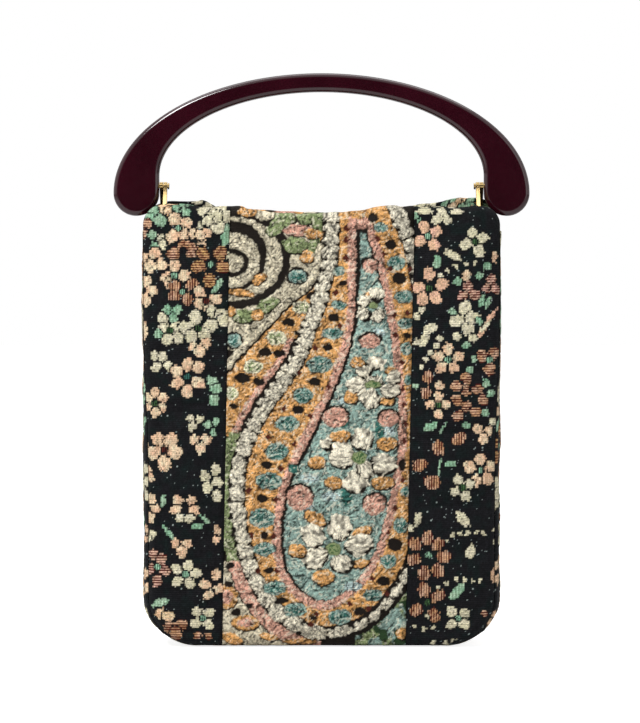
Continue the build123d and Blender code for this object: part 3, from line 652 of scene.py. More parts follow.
def paint_leaf(cloth, fine, kind, x, z, half_length, half_width, turn):
    """A woven leaf with stepped edges."""
    at, inside = cloth.ellipse(x, z, half_length, half_width, turn, 2)
    inside = inside + 0.9 * (cloth.cells(at, 2 * CELL[0], CELL[1], 19) - 0.5)
    cloth.paint(inside, thread(kind, fine[0][at], fine[1][at]), 0.38, 1.0, at=at)


def floral_print(x, z, flowers, leaves, repeat=0.0):
    """The ditsy flowers of the side strips and the gusset; repeat is the length of a repeat."""
    cloth = Print(*woven(x, z), "ground")
    fine = (x, z)
    for shift in (-repeat, 0, repeat) if repeat else (0,):
        for kind, leaf_x, leaf_z, length, width, turn in leaves:
            paint_leaf(cloth, fine, kind, leaf_x, leaf_z + shift, length, width, turn)
        for kind, radius, heart, petals in flowers:
            moved = [(petal_x, petal_z + shift) for petal_x, petal_z in petals]
            paint_flower(cloth, fine, kind, radius, heart, moved)
    rib = 0.5 + 0.5 * np.cos(2 * np.pi * z / RIB_PITCH)
    on_ground = cloth.height < 0.05
    ground = mixed(LINEAR["ground"], LINEAR["bottle"], 1.8 * noise(x, z, 4.0, 33) - 0.7)
    cloth.colour[on_ground] = ground[on_ground]
    stitch = cells(x, z, CELL[0], RIB_PITCH / 2, 32)
    cloth.colour *= (0.74 + 0.5 * cells(x, z, CELL[0], RIB_PITCH, 31))[:, None]
    # Painted shade of the ribs: the colour darkens in the troughs between ribs, strongly on the
    # ground and lightly on the figures
    cloth.colour *= np.where(on_ground, 0.5 + 1.0 * rib * (0.5 + stitch), 0.80 + 0.3 * rib)[:, None]
    cloth.colour[~on_ground & (stitch > DARK_STITCH)] *= 0.35
    speck = on_ground & (cells(x, z, 0.6, 0.6, 77) > PALE_SPECK)
    cloth.colour[speck] = LINEAR["speck"]
    cloth.height += 0.10 * rib + 0.12 * (stitch - 0.5) * ~on_ground
    return cloth


def teardrop_line():
    """Points along the teardrop with their distance to the rope and their way along it."""
    rows = np.array(TEARDROP, float)
    ends = np.vstack([2 * rows[0] - rows[1], rows, 2 * rows[-1] - rows[-2]])
    parts = []
    share = np.linspace(0, 1, 20, endpoint=False)[:, None]
    for p0, p1, p2, p3 in zip(ends, ends[1:], ends[2:], ends[3:]):
        square, cube = 2 * p0 - 5 * p1 + 4 * p2 - p3, 3 * p1 - p0 - 3 * p2 + p3
        parts.append(0.5 * (2 * p1 + (p2 - p0) * share + square * share ** 2 + cube * share ** 3))
    line = np.vstack(parts + [rows[-1:]])
    return line, ways_along(line[:, :2])


def lowest_way():
    """The way along the teardrop at its lowest point."""
    line, ways = teardrop_line()
    return ways[line[:, 1].argmin()]


def line_places(x, z, points):
    """Distance from an open line, positive above it, and the way along it."""
    corners = np.array(points, float)
    ways = ways_along(corners)
    fine = np.linspace(0, ways[-1], 160)
    line = np.stack([np.interp(fine, ways, places) for places in corners.T], -1)
    gap = (x[:, None] - line[:, 0]) ** 2 + (z[:, None] - line[:, 1]) ** 2
    nearest = np.minimum(gap.argmin(1), len(line) - 2)
    ahead = line[nearest + 1] - line[nearest]
    side = (x - line[nearest, 0]) * ahead[:, 1] - (z - line[nearest, 1]) * ahead[:, 0]
    return np.sqrt(gap.min(1)) * np.sign(side), fine[nearest]


def inside_line(x, z, line):
    """Whether each point is inside the closed line."""
    found = np.zeros(len(x), bool)
    ends = np.roll(line, -1, axis=0)
    for (x1, z1), (x2, z2) in zip(line, ends):
        if z1 != z2:
            crosses = (z1 > z) != (z2 > z)
            found ^= crosses & (x < (x2 - x1) * (z - z1) / (z2 - z1) + x1)
    return found


def teardrop_places(x, z):
    """Distance out from the teardrop, distance from it to the rope, and way along it."""
    line, ways = teardrop_line()
    distance = np.empty(len(x))
    nearest = np.empty(len(x), int)
    for start in range(0, len(x), 8000):
        part = slice(start, start + 8000)
        gap = (x[part, None] - line[:, 0]) ** 2 + (z[part, None] - line[:, 1]) ** 2
        nearest[part] = gap.argmin(1)
        distance[part] = np.sqrt(gap.min(1))
    distance[inside_line(x, z, line[:, :2])] *= -1
    return distance, line[nearest, 2], ways[nearest]


def between(distance, span):
    """The distance in from the edges of a band."""
    return np.minimum(distance - span[0], span[1] - distance)


def lobes(distance, way, middle, half, pitch):
    """A rope of rounded lobes: the distance in from their scalloped edge."""
    share = np.mod(way / pitch, 1) - 0.5
    return (1 - np.hypot(share / 0.56, (distance - middle) / half)) * half


def paint_figures(cloth, figures, colour, bulge, outline=1.0):
    """Ovals with painted shadow below them; a figure may end with its turn in degrees."""
    for x, z, half_width, half_height, *turn in figures:
        form = (half_width, half_height, sum(turn), 3)
        at, inside = cloth.ellipse(x, z, *form)
        # outline is the width of a painted shadow: a dark copy of the oval moved down and right
        if outline:
            below, shadow_inside = cloth.ellipse(x + 0.3, z - 0.7, *form)
            cloth.paint(shadow_inside + outline * 0.6, "outline", 0.1, at=below)
        cloth.paint(inside, colour, bulge, 2.4, at=at)


def paint_dark(cloth, figures):
    """Flat dark spots."""
    paint_figures(cloth, figures, "outline", 0.0, outline=0)


def paint_medallions(cloth, figures, colour, core):
    """Woven ovals with a darker core."""
    for x, z, half_width, half_height in figures:
        at, inside = cloth.ellipse(x, z, half_width, half_height, 0, 3)
        cloth.paint(inside + 0.2, "outline", 0.1, at=at)
        cloth.paint(inside, colour, 1.0, 2.4, at=at)
        speckle = cloth.cells(at, 0.8, 0.8, 41)
        cloth.paint(np.where(speckle > 0.5, inside - 0.9, -1), core, 1.0, 2.4, at=at)


def paint_roundels(cloth):
    """Pink discs of the field, each under a dark arc."""
    for x, z, half_width, half_height in ROUNDELS:
        at, inside = cloth.ellipse(x, z, half_width, half_height, 0, 3)
        above = np.clip((cloth.z[at] - z) / half_height + 0.5, 0, 1)
        cloth.paint(inside + 1.5 * above, "outline", 0.0, at=at)
        cloth.paint(inside, "pink", 1.0, 3.0, at=at)


def paint_petals(cloth):
    """Ivory petals of the field flowers with folds that run to their hearts, painted shade in the
    folds and painted shadow below.
    """
    for x, z, half_width, half_height, turn in FIELD_PETALS:
        at, inside = cloth.ellipse(x, z, half_width, half_height, turn, 3)
        heart = min(FIELD_HEARTS, key=lambda h: (h[0] - x) ** 2 + (h[1] - z) ** 2)
        from_x, from_z = cloth.x[at] - heart[0], cloth.z[at] - heart[1]
        around, away = np.arctan2(from_z, from_x), np.hypot(from_z, from_x)
        fold = 0.4 * noise(around * 7, away / 4, 1, 76)
        fold = smooth(1.8 * (fold + 0.6 * noise(around * 16, away / 2.2, 1, 77)) - 0.35)
        inside += 3.0 * (noise(cloth.x[at], cloth.z[at], 3.0, 75) - 0.5)
        inside += 1.4 * (fold - 0.5)
        # Painted shadow: a dark copy of the petal, moved down and right
        below, shadow_inside = cloth.ellipse(x + 0.4, z - 0.8, half_width, half_height, turn, 3)
        cloth.paint(shadow_inside + 0.5, "outline", 0.1, at=below)
        fibre = cloth.cells(at, 0.7, 0.7, 79)
        # Painted shade and highlight of the folds: darker in their troughs, lighter on their
        # ridges; fibre is random tone
        tone = LINEAR["white"] * ((0.3 + 1.05 * fold) * (0.76 + 0.5 * fibre))[:, None]
        cloth.paint(inside, tone, 2.0, 4.5, at=at)
        cloth.height[at] += 1.0 * (fold - 0.5) * (inside > 0)


def paint_upper_left(cloth):
    """The ringed roundel with its leaves and dark-ringed ovals."""
    for colour, *ring in ROUNDEL_RINGS:
        at, inside = cloth.ellipse(*ring, 0, 2)
        cloth.paint(inside, colour, 1.3 if colour == "ivory" else 0.0, 3.0, at=at)
    paint_figures(cloth, SAGE_FIGURES, "sage", 1.0)
    for colour, *figure in TOP_FIGURES:
        paint_figures(cloth, [figure], colour, 0.7, outline=0.5)
    rings = [(x, z, width + 1.5, height + 1.5) for x, z, width, height in DARK_RINGED]
    paint_figures(cloth, rings, "outline", 0.1, outline=0)
    paint_medallions(cloth, DARK_RINGED, "teal", "deep_teal")


def paint_second_border(cloth, beyond):
    """The second border, between the rope and a second rope that runs down to the left seam."""
    at = np.flatnonzero((cloth.x < 12) & (cloth.z > SECOND_FOOT - 4))
    above, _ = line_places(cloth.x[at], cloth.z[at], SECOND_ROPE)
    out = beyond[at]
    low = cloth.z[at] - SECOND_FOOT
    pink_here = SECOND_PINK_TOP - cloth.z[at]
    border = np.minimum(-above, low)
    cloth.paint(np.minimum(border, out - SECOND_GAPS[0]), "outline", 0.0, at=at)
    start = np.where(pink_here > 0, SECOND_PINK[1], SECOND_GAPS[1])
    cloth.paint(np.minimum(border, out - start), "orange", 0.8, 2.0, at=at)
    cloth.paint(least(between(out, SECOND_PINK), pink_here, border), "pink", 1.0, 2.0, at=at)
    # A dark edge round the second rope that reaches farther below it: a dark line with painted
    # shadow under the rope
    edge = np.minimum(SECOND_ROPE_HALF + 0.9 - np.abs(above + 0.6), out - 3)
    cloth.paint(edge, "outline", 0.0, at=at)
    rope = np.minimum(SECOND_ROPE_HALF - np.abs(above), out - 3)
    cloth.paint(rope, "ivory", 1.6, 2.4, at=at)
    paint_medallions(cloth, SECOND_MEDALLIONS, "cream", "sage")
    paint_dark(cloth, SECOND_SPOTS)


def paint_lower_corners(cloth, beyond, way):
    """Sage scallops, the pink rope with rosettes, and the leafy right corner."""
    sage = lobes(beyond, way, sum(SAGE_BAND) / 2, SAGE_HALF, SAGE_PITCH)
    height = np.minimum(cloth.z - SAGE_FOOT, SECOND_FOOT + 3 - cloth.z)
    cloth.paint(least(sage, -cloth.x - 20, height / 2), "sage", 1.3, 2.5)
    low = PINK_BAND_TOP - cloth.z
    cloth.paint(least(beyond - PINK_BAND[1] - 1, low, -cloth.x), "ivory", 0.5, 2.0)
    cloth.paint(least(between(beyond, PINK_BAND), low, -cloth.x), "pink", 1.0, 3.0)
    for x, z, half_width, half_height in ROSETTES:
        paint_figures(cloth, [(x, z, half_width, half_height)], "orange", 0.8, 0.6)
        paint_figures(cloth, [(x, z, half_width * 0.6, half_height * 0.6)], "pink", 1.0, 0.0)
    paint_dark(cloth, CORNER_SPOTS)
    left, top, gap = LEAFY_CORNER
    right = least(beyond - gap, cloth.x - left, top - cloth.z)
    cloth.paint(right, LINEAR["leaf"] * 0.5, 0.2, 2.0)
    for colour, size, seed, level, slope in LEAFY_PATCHES:
        patches = (noise(cloth.x, cloth.z, size, seed) - level) * slope
        cloth.paint(np.minimum(right, patches), colour, 0.8, 1.6)
    paint_figures(cloth, CORNER_ORANGES, "orange", 0.6, 0.5)


def paisley_print(x, z):
    """The embossed print of the centre strip."""
    wander, drift = (sum(reach * (noise(x, z, size, seed) - 0.5) for reach, size, seed in parts)
                     for parts in WANDER)
    cloth = Print(x + wander, z + drift, "outline")
    distance, reach, way = teardrop_places(cloth.x, cloth.z)
    beyond = distance - reach
    cloth.paint(least(beyond - 5.0, 4 - cloth.x, cloth.z - 192), "ivory", 0.8, 2.5)
    paint_upper_left(cloth)
    paint_second_border(cloth, beyond)
    paint_lower_corners(cloth, beyond, way)

    speckle = cells(cloth.x, cloth.z, 1.0, 1.0, 51) - 0.5
    orange_edge = reach - ROPE_HALF - SCALLOP_GAP
    cloth.paint(orange_edge - distance - 0.4 * speckle, "orange", 0.6, 2.0)
    pink = np.minimum(PINK_EDGE - distance, PINK_TOP - cloth.z)
    cloth.paint(pink + 1.6 * speckle, "pink", 0.9, 2.2)
    line = FIELD_LINE + LEFT_LINE * smooth((lowest_way() - way) / 30)
    line = line + 0.9 * smooth((cloth.z - 225) / 20)
    tip = 0.42 * (FIELD_TOP - cloth.z)
    cloth.paint(np.minimum(0.3 - distance, tip + 1.2), "outline", 0.0)
    cloth.paint(np.minimum(-distance - line, tip), "teal", 0.5, 2.0)
    thin = 1 - ROPE_THIN * smooth((cloth.x + 12) / 34) * smooth((110 - cloth.z) / 40)
    cloth.paint(ROPE_HALF * thin + 1.6 - np.abs(distance - reach), "outline", 0.0)
    rope = lobes(distance, way, reach, (ROPE_HALF + 1.4) * thin, ROPE_LOBE)
    rope += 1.8 * (noise(cloth.x, cloth.z, 2.0, 72) - 0.5)
    cloth.paint(rope, LINEAR["white"] * ROPE_TONE, 2.3, 3.4)
    paint_medallions(cloth, MEDALLIONS, "teal", "deep_teal")
    paint_dark(cloth, SPOTS)
    for bar in CROSS_BARS:
        paint_figures(cloth, [place + bar for place in CROSSES], "maroon", 0.1, outline=0)
    paint_figures(cloth, FIELD_LEAVES, "deep_teal", 0.6, outline=0)
    for px, pz, half_x, half_z in SMOOTH_PATCHES:
        at, inside = cloth.ellipse(px, pz, half_x, half_z, 0, 2)
        rows = np.where(np.mod(z[at], 1.3) < 0.65, 0.6, 0.0)
        cloth.paint(inside, mixed(LINEAR["pale_teal"], LINEAR["teal"], rows), 0.5, at=at)
    paint_roundels(cloth)
    paint_figures(cloth, FIELD_ORANGES, "orange", 1.0, outline=0.9)
    emboss(cloth, x, z)
    paint_petals(cloth)
    paint_medallions(cloth, FIELD_HEARTS, "sage", "leaf")
    return cloth


def brushed(x, z, size, seed):
    """Short strokes of thread whose direction changes from patch to patch."""
    patch = noise(x, z, STROKE_PATCH, seed + 3)
    strokes = np.zeros(len(x))
    for turn, low, high in STROKE_TURNS:
        chosen = (patch >= low) & (patch < high)
        along, across = turned(x[chosen], z[chosen], turn)
        strokes[chosen] = noise(along / STROKE_LENGTH, across, size, seed)
    return strokes


def emboss(cloth, x, z):
    """Crumples the raised figures, mottles their threads and paints shade and highlights into them.
    """
    lit = cloth.colour.sum(1) > LIT_LEVEL
    plump = smooth(cloth.height / PLUMP_HEIGHT)
    bent_x = x + BEND * (noise(x, z, BEND_SIZE, 66) - 0.5)
    bent_z = z + BEND * (noise(x, z, BEND_SIZE, 67) - 0.5)
    lump = 0.7 * crumple(bent_x, bent_z, LUMP_SIZE, 63) + 0.5 * noise(bent_x, bent_z, 1.2, 65) - 0.1
    grain = 0.8 * noise(bent_x, z, GRAIN_SIZE, 64) + brushed(bent_x, z, GRAIN_SIZE, 70) - 0.4
    relief = np.clip(plump * lump + (1 - plump) * grain, -0.1, 1.1)
    streak = brushed(x, z, 1.0, 62)
    patch = noise(x, z, 5.0, 68)
    # Painted shade: threads darken in the creases of the relief and the troughs of the strokes and
    # lighten on the lumps; patch is random tone
    tone = (0.26 + 0.98 * relief) * (0.46 + 0.85 * streak + 0.3 * patch)
    cloth.colour *= (TONE_LIFT * np.where(lit, tone, 0.7))[:, None]
    mottle = cells(bent_x, z, 0.8, 0.8, 61)
    # Painted shade in the strokes' troughs, and dark flecks in random cells
    cloth.colour[lit & ((streak < SHADE_AND_DARK_FLECK[0]) | (mottle > SHADE_AND_DARK_FLECK[1]))] *= 0.25
    # Painted highlights: threads turned towards white on the strokes' crests and in random cells
    painted_highlight = lit & ((streak > PAINTED_HIGHLIGHT[0]) | (mottle < PAINTED_HIGHLIGHT[1]))
    cloth.colour[painted_highlight] = cloth.colour[painted_highlight] * 0.5 + 0.55 * LINEAR["white"]
    cloth.height += 1.2 * plump * (lump - 0.5) + 0.4 * (grain - 0.5) * np.where(lit, 1.0, 0.4)
    cloth.height += 0.5 * (streak - 0.5) * lit


def hem_height(x, table):
    """The height of a face's upper edge."""
    places = np.array(table, float)
    fine = np.linspace(places[0, 0], places[-1, 0], 233)
    heights = np.interp(fine, places[:, 0], places[:, 1])
    ripple = noise(x, np.zeros(len(x)), 6.5, 90) + 0.5 * noise(x, np.ones(len(x)), 3.0, 91) - 0.75
    return np.interp(x, fine, evened(heights, 13)) + HEM_RIPPLE * ripple


def gusset_bulge(z):
    """How far the gusset's sides stand out beyond the seams at a height."""
    high, low = BULGE_SPAN
    return TOP_BULGE + (BASE_BULGE - TOP_BULGE) * smooth((high - z) / (high - low))


def half_width_at(z):
    """Half the width of a face at a height: rounded corners below and above."""
    low = np.clip(BASE_CORNER - z, 0, BASE_CORNER)
    high = np.clip(z - (HEIGHT - TOP_CORNER), 0, TOP_CORNER)
    return (HALF_WIDTH - gusset_bulge(z) - BASE_CORNER + np.sqrt(BASE_CORNER ** 2 - low ** 2)
            - TOP_CORNER + np.sqrt(TOP_CORNER ** 2 - high ** 2))


def edge_distance(x, z):
    """How far a point of a face is in from its outline."""
    radius = np.where(z < HEIGHT / 2, BASE_CORNER, TOP_CORNER)
    qx = np.abs(x) - (HALF_WIDTH - gusset_bulge(z) - radius)
    qz = np.abs(z - HEIGHT / 2) - (HEIGHT / 2 - radius)
    outside = np.hypot(np.maximum(qx, 0), np.maximum(qz, 0))
    return radius - outside - np.minimum(np.maximum(qx, qz), 0)


def seam_at(seam, z):
    """X of a seam at a height."""
    return seam[0] + seam[1] * z / HEIGHT


def face_depth(x, z, seed):
    """How far a face stands out, with its rounded edge, before the cloth moves."""
    edge = np.clip(edge_distance(x, z) / EDGE_ROUND, 0, 1)
    drop = EDGE_ROUND * (1 - np.sqrt(edge * (2 - edge)))
    rise = np.sin(np.pi * np.clip(z / HEIGHT, 0, 1))
    crown = CROWN * (1 - (x / HALF_WIDTH) ** 2) * (0.4 + 0.6 * rise)
    depth = HALF_DEPTH - SHELL_INSET + crown - drop
    for seam in (LEFT_SEAM, RIGHT_SEAM):
        gap = np.abs(x - seam_at(seam, z))
        pucker = noise(x * 0.2, z, 6.0, seed + 2) - 0.5
        depth -= SEAM_VALLEY * np.exp(-(gap / SEAM_WIDTH) ** 2)
        depth += SEAM_PUCKER * pucker * np.exp(-gap / 6.0)
    between_seams = smooth(np.minimum(x - seam_at(LEFT_SEAM, z), seam_at(RIGHT_SEAM, z) - x) / 3)
    return depth + CENTRE_PROUD * between_seams


def coarse_face(seed):
    """A coarse grid of a face whose columns meet its seams, and which of its points are sewn."""
    z = np.linspace(0, HEIGHT, CLOTH_ROWS + 1)
    parts, sewn = [], []
    for strip, cells_across in CLOTH_CELLS.items():
        left, right = strip_edges(strip, z)
        share = np.linspace(0, 1, cells_across + 1)
        last = strip == "right"
        count = cells_across + 1 if last else cells_across
        parts.append((left[:, None] + (right - left)[:, None] * share)[:, :count])
        sewn += [1.0] + [0.0] * (count - 1)
    sewn[-1] = 1.0
    x = np.concatenate(parts, 1)
    heights = np.repeat(z[:, None], x.shape[1], 1)
    pins = np.tile(sewn, (len(z), 1))
    pins[0] = 1.0
    depth = face_depth(x.ravel(), heights.ravel(), seed).reshape(x.shape)
    tilt = noise(x.ravel(), heights.ravel(), 15.0, seed + 7).reshape(x.shape) - 0.5
    return np.stack([x, -depth + 0.4 * tilt * (1 - pins), heights], -1), pins


def link(name, data):
    """Links an object to the scene."""
    piece = bpy.data.objects.new(name, data)
    bpy.context.scene.collection.objects.link(piece)
    return piece


def link_mesh(name, vertices, faces, material=None):
    """Links a smooth mesh with vertices in millimetres."""
    mesh = bpy.data.meshes.new(name)
    mesh.from_pydata((np.reshape(vertices, (-1, 3)) * MM).tolist(), [], faces)
    mesh.polygons.foreach_set("use_smooth", np.ones(len(mesh.polygons), bool))
    if material:
        mesh.materials.append(material)
    return link(name, mesh)


def grid_faces(rows, columns):
    """The faces of rows of points."""
    index = np.arange(rows * columns).reshape(rows, columns)
    quads = np.stack([index[:-1, :-1], index[:-1, 1:], index[1:, 1:], index[1:, :-1]], -1)
    return quads.reshape(-1, 4).tolist()


def grid_piece(name, points, material, colours=None, body="bag"):
    """A smooth mesh from rows of points, with the colour of its threads at each point."""
    piece = link_mesh(name, points, grid_faces(*points.shape[:2]), material)
    if colours is not None:
        rgba = np.ones((*points.shape[:2], 4), np.float32)
        rgba[..., :3] = colours
        layer = piece.data.color_attributes.new("thread_colour", "FLOAT_COLOR", "POINT")
        layer.data.foreach_set("color", rgba.ravel())
    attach(piece, body)
    return piece


def blow_cloth(face):
    """Simulates the padded cloth of a face between its seams and gives how far it moves out."""
    start, pins = coarse_face(SEEDS[face])
    piece = link_mesh(face + "_coarse", start, grid_faces(*pins.shape))
    group = piece.vertex_groups.new(name="sewn")
    group.add([int(at) for at in np.flatnonzero(pins.ravel() > 0.5)], 1.0, "REPLACE")
    settings = piece.modifiers.new("Cloth", "CLOTH").settings
    for name, value in CLOTH_SETTINGS.items():
        setattr(settings, name, value)
    settings.effector_weights.gravity = 0
    scene = bpy.context.scene
    scene.frame_start, scene.frame_end = 1, CLOTH_FRAMES
    for frame_number in range(1, CLOTH_FRAMES + 1):
        scene.frame_set(frame_number)
    moved = piece.evaluated_get(bpy.context.evaluated_depsgraph_get())
    places = np.empty(start.size)
    moved.data.vertices.foreach_get("co", places)
    bpy.data.objects.remove(piece)
    scene.frame_set(1)
    out = start[..., 1] - places.reshape(start.shape)[..., 1] / MM
    return np.clip(out, -CLOTH_CAP, CLOTH_CAP)


def cloth_shift(moved, strip, share, z):
    """The simulated movement at the points of a fine strip."""
    first = sum(CLOTH_CELLS[name] for name in STRIPS[:STRIPS.index(strip)])
    u = first + share * CLOTH_CELLS[strip]
    v = z / HEIGHT * CLOTH_ROWS
    iu = np.minimum(u.astype(int), moved.shape[1] - 2)
    iv = np.minimum(v.astype(int), moved.shape[0] - 2)
    corners = [moved[iv + dv, iu + du] for dv in (0, 1) for du in (0, 1)]
    return blended(corners, *(smooth(part) * 0.5 + part * 0.5 for part in (u - iu, v - iv)))


def strip_edges(strip, z):
    """The left and right edge of a sewn strip at each height."""
    half = half_width_at(z)
    edges = [-half, seam_at(LEFT_SEAM, z), seam_at(RIGHT_SEAM, z), half]
    return edges[STRIPS.index(strip):][:2]


def strip_print(strip, x, z):
    """The print of a strip of a face."""
    if strip == "centre":
        return paisley_print(x, z)
    if strip == "left":
        return floral_print(x, z, LEFT_FLOWERS, LEFT_LEAVES)
    return floral_print(x, z, RIGHT_FLOWERS, RIGHT_LEAVES)


def face_strip(face, strip, step, material, moved):
    """One sewn strip of a face: outer cloth, the roll over its top and the hem turned in."""
    hem = FRONT_HEM if face == "front" else [(-x, z) for x, z in reversed(BACK_HEM)]
    outer = np.linspace(0, HEIGHT, int(HEIGHT / step) + 1)
    left, right = strip_edges(strip, outer)
    columns = int((right - left).max() / step) + 1
    share = np.linspace(0, 1, columns)
    x = (left[:, None] + (right - left)[:, None] * share).ravel()
    z = np.repeat(outer, columns)
    lift = (hem_height(x, hem) - HEIGHT) * smooth((z - HEM_PULL) / (HEIGHT - HEM_PULL))
    real_z = BASE_LIFT + z * (1 - BASE_LIFT / HEIGHT) + lift
    cloth = strip_print(strip, x, real_z)
    fade = smooth(edge_distance(x, z) / 3 + 0.2)
    depth = face_depth(x, z, SEEDS[face])
    depth += cloth_shift(moved, strip, np.tile(share, len(outer)), z)
    depth += (cloth.height - (PRINT_SINK if strip == "centre" else 0.0)) * fade
    points = np.stack([x, -depth, real_z], -1).reshape(len(outer), columns, 3)
    points, colours = add_hem(points, cloth.colour.reshape(points.shape))
    points, colours = fold_side(points, colours, strip)
    if face == "back":
        points = points * (-1, -1, 1)
    return grid_piece(face + "_" + strip + "_cloth", points, material, colours)


def add_hem(points, colours):
    """Rows that roll over the upper edge and run down inside the mouth."""
    rows, tones = list(points[:-1]), list(colours[:-1])
    for turn, angle in enumerate(np.linspace(0, math.pi, 9)[1:]):
        over, drop = HEM_ROLL * (1 - math.cos(angle)), HEM_ROLL * 0.9 * (1 - math.sin(angle))
        rows.append(points[-1] + (0, over, -drop))
        tones.append(colours[-2 - turn])
    inner_top = rows[-1]
    for turn, down in enumerate(np.arange(HEM_STEP, HEM_DEPTH + 0.1, HEM_STEP)):
        row = inner_top - (0, 0, down)
        limit = half_width_at(row[:, 2]) - LINING_GAP
        row[:, 0] = np.clip(row[:, 0], -limit, limit)
        rows.append(row)
        tones.append(colours[-11 - 2 * turn])
    return np.array(rows), np.array(tones)


def fold_side(points, colours, strip):
    """Columns that fold the outer edge or the seam allowance of a strip inwards."""
    left = points[:, :1] + (EDGE_TUCK if strip == "left" else 0.0, SEAM_ALLOWANCE, 0.0)
    right = points[:, -1:] + (-EDGE_TUCK if strip == "right" else 0.0, SEAM_ALLOWANCE, 0.0)
    points = np.concatenate([left, points, right], 1)
    return points, np.concatenate([colours[:, :1], colours, colours[:, -1:]], 1)


def arc(x, z, half_width, half_height, angles):
    """Points on an arc round a middle."""
    return np.stack([x + half_width * np.cos(angles), z + half_height * np.sin(angles)], -1)


def gusset_path(step):
    """Points down the left side, along the base and up the right, with their outward normals."""
    straight = np.arange(GUSSET_TOP - 1, BASE_CORNER, -step)
    corner = HALF_WIDTH - BASE_BULGE - BASE_CORNER
    angles = np.linspace(math.pi, 1.5 * math.pi, int(BASE_CORNER * math.pi / 2 / step))
    base = np.arange(-corner + step, 0, step)
    half = np.concatenate([
        np.stack([-half_width_at(straight), straight], -1),
        arc(-corner, BASE_CORNER, BASE_CORNER, BASE_CORNER, angles),
        np.stack([base, np.zeros(len(base))], -1),
    ])
    path = np.concatenate([half, half[::-1] * (-1, 1)])
    along = np.gradient(path, axis=0)
    along /= np.linalg.norm(along, axis=1)[:, None]
    return path + (0, BASE_LIFT), np.stack([along[:, 1], -along[:, 0]], -1)


def gusset(material):
    """The one-piece gusset: a padded band that bulges between the two seams."""
    path, normal = gusset_path(BACK_STEP)
    edge = HALF_DEPTH - EDGE_ROUND + 0.2
    across = np.linspace(-1, 1, int(2 * edge / BACK_STEP))
    way, side = np.meshgrid(ways_along(path), across, indexing="ij")
    is_base = normal[:, 1] < -0.7
    bulge_limit = evened(np.where(is_base, BASE_LIFT, gusset_bulge(path[:, 1])), 41)
    bulge = bulge_limit[:, None] * np.sqrt(1 - np.abs(side) ** 2.6)
    cloth = floral_print(-90 - side.ravel() * edge, GUSSET_TOP - way.ravel() % HEIGHT,
                         LEFT_FLOWERS, LEFT_LEAVES, repeat=HEIGHT)
    relief = (cloth.height.reshape(way.shape) - 0.5) * (1 - side ** 6)
    wave = 1.3 * (noise(way, side * edge, 26, 300) - 0.5)
    wave += 0.9 * (noise(way, side * edge * 0.5, 9, 301) - 0.5)
    out = bulge + relief + wave * (1 - side ** 4) * np.where(is_base, 0.3, 1.0)[:, None]
    places = path[:, None] + normal[:, None] * out[..., None]
    points = np.stack([places[..., 0], side * edge, np.maximum(places[..., 1], 0)], -1)
    colours = cloth.colour.reshape(points.shape)
    downs = np.arange(GUSSET_TUCK, -1, -TUCK_STEP)
    tucked = [points[0] + (GUSSET_TURN, 0, -down) for down in downs]
    left_rows = np.array(tucked + [points[0] + (GUSSET_TURN / 2, 0, GUSSET_TURN / 2)])
    points = np.concatenate([left_rows, points, left_rows[::-1] * (-1, 1, 1)])
    ends = [np.repeat(row[None], len(left_rows), 0) for row in (colours[0], colours[-1])]
    return grid_piece("gusset_cloth", points, material, np.concatenate([ends[0], colours, ends[1]]))


def lining(material):
    """The lining: a soft pocket hung inside the hem, with shallow folds."""
    top = LINING_TOP + 1
    rows = []
    turn = np.linspace(0, 2 * math.pi, 241)[:-1]
    cosine, sine = np.cos(turn), np.sin(turn)
    for height in np.linspace(top, LINING_FLOOR, 90):
        near_base = np.clip((height - LINING_FLOOR) / 14, 0, 1)
        shrink = LINING_ROUND * (1 - math.sqrt(near_base * (2 - near_base)))
        half_x = half_width_at(np.array(max(height, 1.0))) - LINING_GAP - shrink * 0.3
        half_y = HALF_DEPTH - 5.2 - shrink
        x = half_x * np.sign(cosine) * np.abs(cosine) ** 0.12
        y = half_y * np.sign(sine) * np.abs(sine) ** 0.25
        fold = LINING_FOLD * noise(x, np.full_like(x, height) * 0.4 + 400, 14, 500)
        fold *= 1 - 0.2 * abs(y / half_y) ** 9
        y = y - np.sign(y) * fold * np.clip((top - height) / 20, 0, 1)
        rows.append(np.stack([x, y, np.full_like(x, height)], -1))
    rows += [rows[-1] * (share, share, 1) for share in (0.6, 0.2, 0.0)]
    points = np.array(rows)
    return grid_piece("lining_pocket", np.concatenate([points, points[:, :1]], 1), material)


def handle_outline():
    """Points round the arched plate, with their outward normals, in millimetres."""
    low, high = box_mm("handle")
    outer, _, top = high
    leg = HANDLE_LEG / 2
    outer_base = low[2] + leg
    inner_base = outer_base + INNER_ARCH_LIFT
    over = np.linspace(0, math.pi, 150)
    under = np.linspace(math.pi, 2 * math.pi, 28)[1:-1]
    inner = outer - HANDLE_LEG
    side = np.stack([np.full(6, inner), np.linspace(outer_base, inner_base, 6)], -1)
    points = np.concatenate([
        arc(0, outer_base, outer, top - outer_base, over),
        arc(leg - outer, outer_base, leg, leg, under), side * (-1, 1),
        arc(0, inner_base, inner, top - GRIP_HEIGHT - inner_base, over[::-1][1:-1]),
        side[::-1], arc(outer - leg, outer_base, leg, leg, under),
    ])
    ahead = np.roll(points, -1, 0) - np.roll(points, 1, 0)
    ahead /= np.linalg.norm(ahead, axis=1)[:, None]
    return points, np.stack([ahead[:, 1], -ahead[:, 0]], -1)


